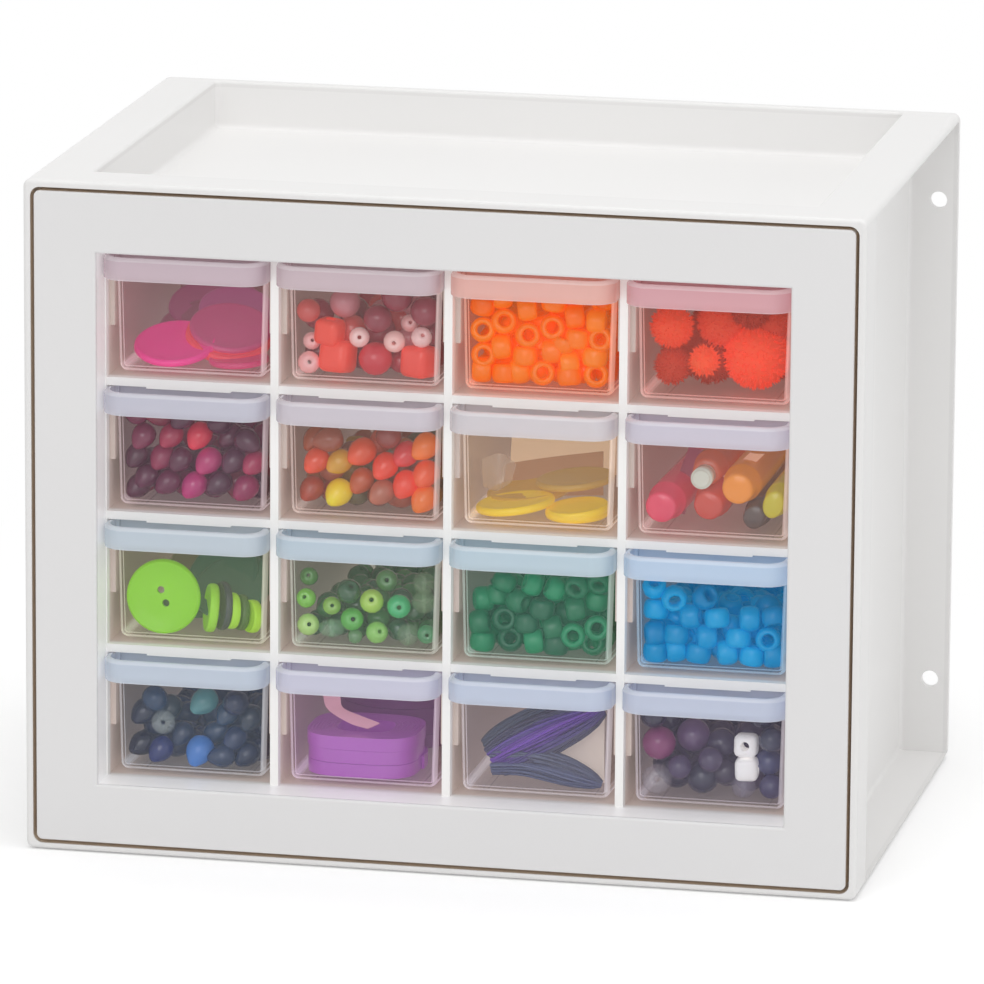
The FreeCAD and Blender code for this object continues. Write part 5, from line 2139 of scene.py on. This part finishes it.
def fourth_row() -> Iterator[Load]:
    """Describe the fourth row's loose pieces: navy drops, and dark beads with white cubes.

    Yields:
        Each kind of loose piece, in the order in which it is set.
    """
    yield Load(
        Compartment(4, 1), "drop_beads", Shape.DROP, "drop_plastic",
        (
            Item(-16.0, 20.0, DOWN, "181e3c", 0.9, 8.0), Item(-8.0, 21.5, DOWN, "243a48", 0.9, 12.0),
            Item(3.5, 24.5, DOWN, "4c8c90", 0.95, 7.0), Item(2.0, 8.4, DOWN, "3c84dc", 1.0),
            Item(-10.5, 7.5, DOWN, "16246c", 0.9, 6.4), Item(11.0, 21.0, DOWN, "183c60", 0.88, 9.0),
            Item(13.5, 13.0, DOWN, "102e5e", 0.88, 7.0), Item(18.5, 20.0, DOWN, "0e2640", 0.88, 8.0),
            Item(-18.0, 9.5, DOWN, "120e30", 0.88, 8.0), Item(17.5, 6.5, DOWN, "0c2248", 0.88, 7.0),
            Item(-3.5, 13.5, DOWN, "122c52", 0.86, 9.0),
        ),
        ("0a1e4a", "10305c", "0a1a44", "163a60", "0e1e50"), fill=80, ball=4.3, slope_deg=9.0, seed=41,
        reach=105.0, fill_size=(0.85, 0.95),
    )
    yield Load(
        Compartment(4, 1), "clear_beads", Shape.ROUND, "clear_bead",
        (Item(-9.8, 16.8, FACE, "c4d0d0", 0.98),), ball=4.0, seed=46,
    )
    yield Load(
        Compartment(4, 4), "cube_beads", Shape.CUBE, "bead_plastic",
        (
            Item(11.6, 21.0, (0.02, -1.0, 0.1), "ffffff", 0.97, 4.2),
            Item(11.9, 13.4, (1.0, 0.06, 0.03), "ffffff", 0.97, 4.4),
        ), ball=4.6, seed=47, tone=0.0,
    )
    yield Load(
        Compartment(4, 4), "round_beads", Shape.BALL, "gloss_bead",
        (
            Item(-16.0, 20.0, FACE, "8f3a70", 1.35), Item(-5.0, 23.0, FACE, "664c74", 1.35, 12.0),
            Item(4.0, 21.0, FACE, "3c3852", 1.2, 13.0), Item(-2.0, 8.0, FACE, "2a3248", 1.3, 9.0),
            Item(19.0, 16.0, FACE, "3a4470", 1.1, 9.0), Item(20.0, 7.0, FACE, "3c3c64", 1.0, 7.0),
            Item(5.0, 12.0, FACE, "343046", 1.1, 10.0),
        ),
        ("26283e", "383048", "243048", "44385a", "222840"), fill=66, ball=4.0, slope_deg=9.5, seed=44,
        reach=95.0, fill_size=(0.95, 1.4), tone=0.08,
    )
    yield Load(
        Compartment(4, 4), "clear_beads", Shape.ROUND, "clear_bead",
        (Item(-16.6, 7.8, FACE, "d4d0d8", 1.2), Item(11.0, 7.0, UP, "a8a4b8", 1.0, 6.0)), ball=4.0, seed=45,
    )


def flat_goods() -> Iterator[TapeRoll | Card | ThreadSkein]:
    """Describe the rolls of tape, the cards and the thread.

    Yields:
        Each of them, in the order in which it is built.
    """
    yield Card(
        Compartment(2, 3), "brown_card", "brown_card",
        ((-11.5, 8.0, 34.0), (4.0, 8.5, 37.0), (21.0, 9.5, 34.0)),
        ((-10.0, 18.0, 40.0), (5.0, 21.0, 43.0), (21.0, 23.7, 40.0)),
    )
    yield Card(
        Compartment(2, 3), "pale_card", "pale_card",
        ((-14.0, 10.0, 62.0), (5.0, 11.0, 64.0), (22.0, 12.0, 62.0)),
        ((-13.0, 29.0, 68.0), (5.0, 30.5, 70.0), (22.0, 31.0, 68.0)),
    )
    yield Card(
        Compartment(2, 3), "clear_sleeve", "clear_sleeve",
        ((-19.5, 13.0, 22.0), (-15.0, 12.0, 26.0), (-10.5, 15.0, 22.0)),
        ((-20.0, 22.0, 22.0), (-14.0, 24.0, 27.0), (-9.0, 21.0, 22.0)), thickness=0.2,
    )
    yield Card(
        Compartment(2, 4), "rose_card", "rose_card",
        ((-22.0, 2.0, 74.0), (0.0, 2.0, 76.0), (20.0, 2.0, 74.0)),
        ((-22.0, 29.0, 80.0), (0.0, 31.0, 82.0), (20.0, 30.0, 80.0)),
    )
    yield Card(
        Compartment(2, 4), "plum_strip", "plum_card",
        ((-15.0, 9.0, 22.0), (-11.0, 18.0, 24.0), (-7.0, 29.0, 26.0)),
        ((-8.5, 7.0, 22.0), (-5.0, 17.0, 24.0), (-1.0, 28.0, 26.0)),
    )
    yield Card(
        Compartment(2, 4), "peach_strip", "peach_card",
        ((3.5, 20.5, 14.0), (8.0, 24.5, 16.0), (12.0, 28.5, 18.0)),
        ((6.5, 19.5, 14.0), (11.5, 23.5, 16.0), (16.5, 28.5, 18.0)),
    )
    yield TapeRoll(Compartment(4, 2), "violet_tape", "violet_tape", -2.6, 16.5, 18.4, 16.0)
    yield TapeRoll(
        Compartment(4, 2), "mauve_tape", "mauve_tape", 0.0, 58.0, 20.8, 20.8, layers=6, squareness=2.0
    )
    yield Card(
        Compartment(4, 2), "tape_tail", "mauve_card",
        ((-13.5, 28.5, 16.0), (-12.0, 24.0, 14.0), (-5.0, 20.0, 11.0), (1.0, 18.6, 8.0)),
        ((-8.0, 28.5, 17.0), (-7.0, 24.6, 15.0), (-1.0, 22.4, 12.0), (4.8, 20.6, 9.0)), bulge=0.3,
    )
    yield ThreadSkein(
        Compartment(4, 3), "violet_skein",
        ((-13.5, 12.0, 8.0), (-6.0, 17.0, 7.0), (6.0, 23.5, 8.0), (21.0, 30.5, 10.0)), 17.5, 9.0, 190,
        ("3c3f62", "4a3a86", "6432a8", "7038b4", "5c40a0", "3f4468", "3a4a60"),
    )
    yield ThreadSkein(
        Compartment(4, 3), "slate_skein",
        ((-14.0, 8.0, 7.0), (-2.0, 8.5, 6.0), (10.0, 6.0, 6.0), (21.0, 2.6, 7.0)), 9.0, 6.0, 80,
        ("4c5a80", "626e94", "56607c"), (1.0, 0.12), seed=44,
    )
    yield Card(
        Compartment(4, 3), "beige_card", "beige_card",
        ((1.0, 12.0, 15.0), (11.0, 8.0, 14.0), (22.0, 3.4, 13.0)),
        ((-2.0, 26.0, 22.0), (10.0, 30.0, 22.0), (22.0, 33.0, 21.0)),
    )


def painted_finish(name: str, **looks: float) -> MouldedFinish:
    """Describe a finish that takes its colour from each piece's own paint."""
    return MouldedFinish(name, "ffffff", "ece6e2", painted=True, grain_scale=700.0, **looks)


def build_finishes(groups: ShaderGroups) -> dict[str, bpy.types.Material]:
    """Make the finishes of the contents.

    Args:
        groups: the shared shader groups.

    Returns:
        The materials by name.
    """
    # Each glow here is painted light: a piece emits its own colour, as if more light reached it inside its
    # drawer; tip paints a highlight towards a drop's tip.
    drop = dict(glow=0.08, roughness=0.2, bump=0.03, coat=0.4, tip=0.45, mottle_scale=120.0)
    paper = dict(roughness=0.7, grain_scale=1500.0, bump=0.1, glow=0.34)
    finishes = [
        painted_finish("bead_plastic", glow=0.16, roughness=0.3, bump=0.05, coat=0.15, mottle_scale=160.0),
        painted_finish("gloss_bead", glow=0.08, roughness=0.18, bump=0.03, coat=0.4, mottle_scale=120.0),
        painted_finish("drop_plastic", **drop),
        painted_finish("pearl_bead", glow=0.1, roughness=0.22, bump=0.02, coat=0.7, mottle_scale=260.0),
        painted_finish("glass_bead", glow=0.05, roughness=0.1, bump=0.02, coat=0.8, mottle_scale=180.0),
        painted_finish("clear_bead", roughness=0.1, bump=0.02, coat=0.8, alpha=0.3, mottle_scale=180.0),
        painted_finish("satin_disc", glow=0.16, roughness=0.38, bump=0.06, coat=0.15, mottle_scale=60.0),
        painted_finish("fluff", glow=0.16, roughness=0.85, bump=0.1, mottle_scale=400.0),
        painted_finish("thread", glow=0.06, roughness=0.5, bump=0.15, mottle_scale=300.0),
        MouldedFinish(
            "violet_tape", "b862c4", "a054b4", roughness=0.3, coat=0.5, mottle_scale=40.0,
            bump=0.05, glow=0.12,
        ),
        MouldedFinish("mauve_tape", "986498", "805686", roughness=0.4, coat=0.3, mottle_scale=40.0),
        MouldedFinish("clear_sleeve", "fff0e4", "f0e0d4", roughness=0.2, alpha=0.3, coat=0.4),
    ]
    card_colours = (
        ("brown_card", "b0805c", "a07250"),
        ("pale_card", "f2d6b4", "e6c8a4"),
        ("rose_card", "c4887a", "b07468"),
        ("plum_card", "94405a", "80364c"),
        ("peach_card", "f0b898", "e0a484"),
        ("mauve_card", "dca8b4", "c890a0"),
        ("beige_card", "e6d8cc", "dccabc"),
    )
    finishes += [MouldedFinish(*names, **paper) for names in card_colours]
    return {finish.name: finish.build(groups) for finish in finishes}


def fill_drawers(groups: ShaderGroups) -> None:
    """Put every drawer's contents in.

    Args:
        groups: the shared shader groups.
    """
    kit = Kit(groups)
    for goods in flat_goods():
        goods.build(kit)
    loads = [*first_row(), *second_row(), *third_row(), *fourth_row()]
    for load in loads:
        load.set_front(kit)
    for load in loads:
        load.set_behind(kit)


def main() -> None:
    """Build the room, then dress the cabinet and fill its drawers."""
    logging.basicConfig(level=logging.INFO, format="%(name)s: %(message)s")
    groups = ShaderGroups()
    Room().build()
    WhiteParts().dress(groups)
    ClearDrawers().dress(groups)
    fill_drawers(groups)


if __name__ == "__main__":
    main()
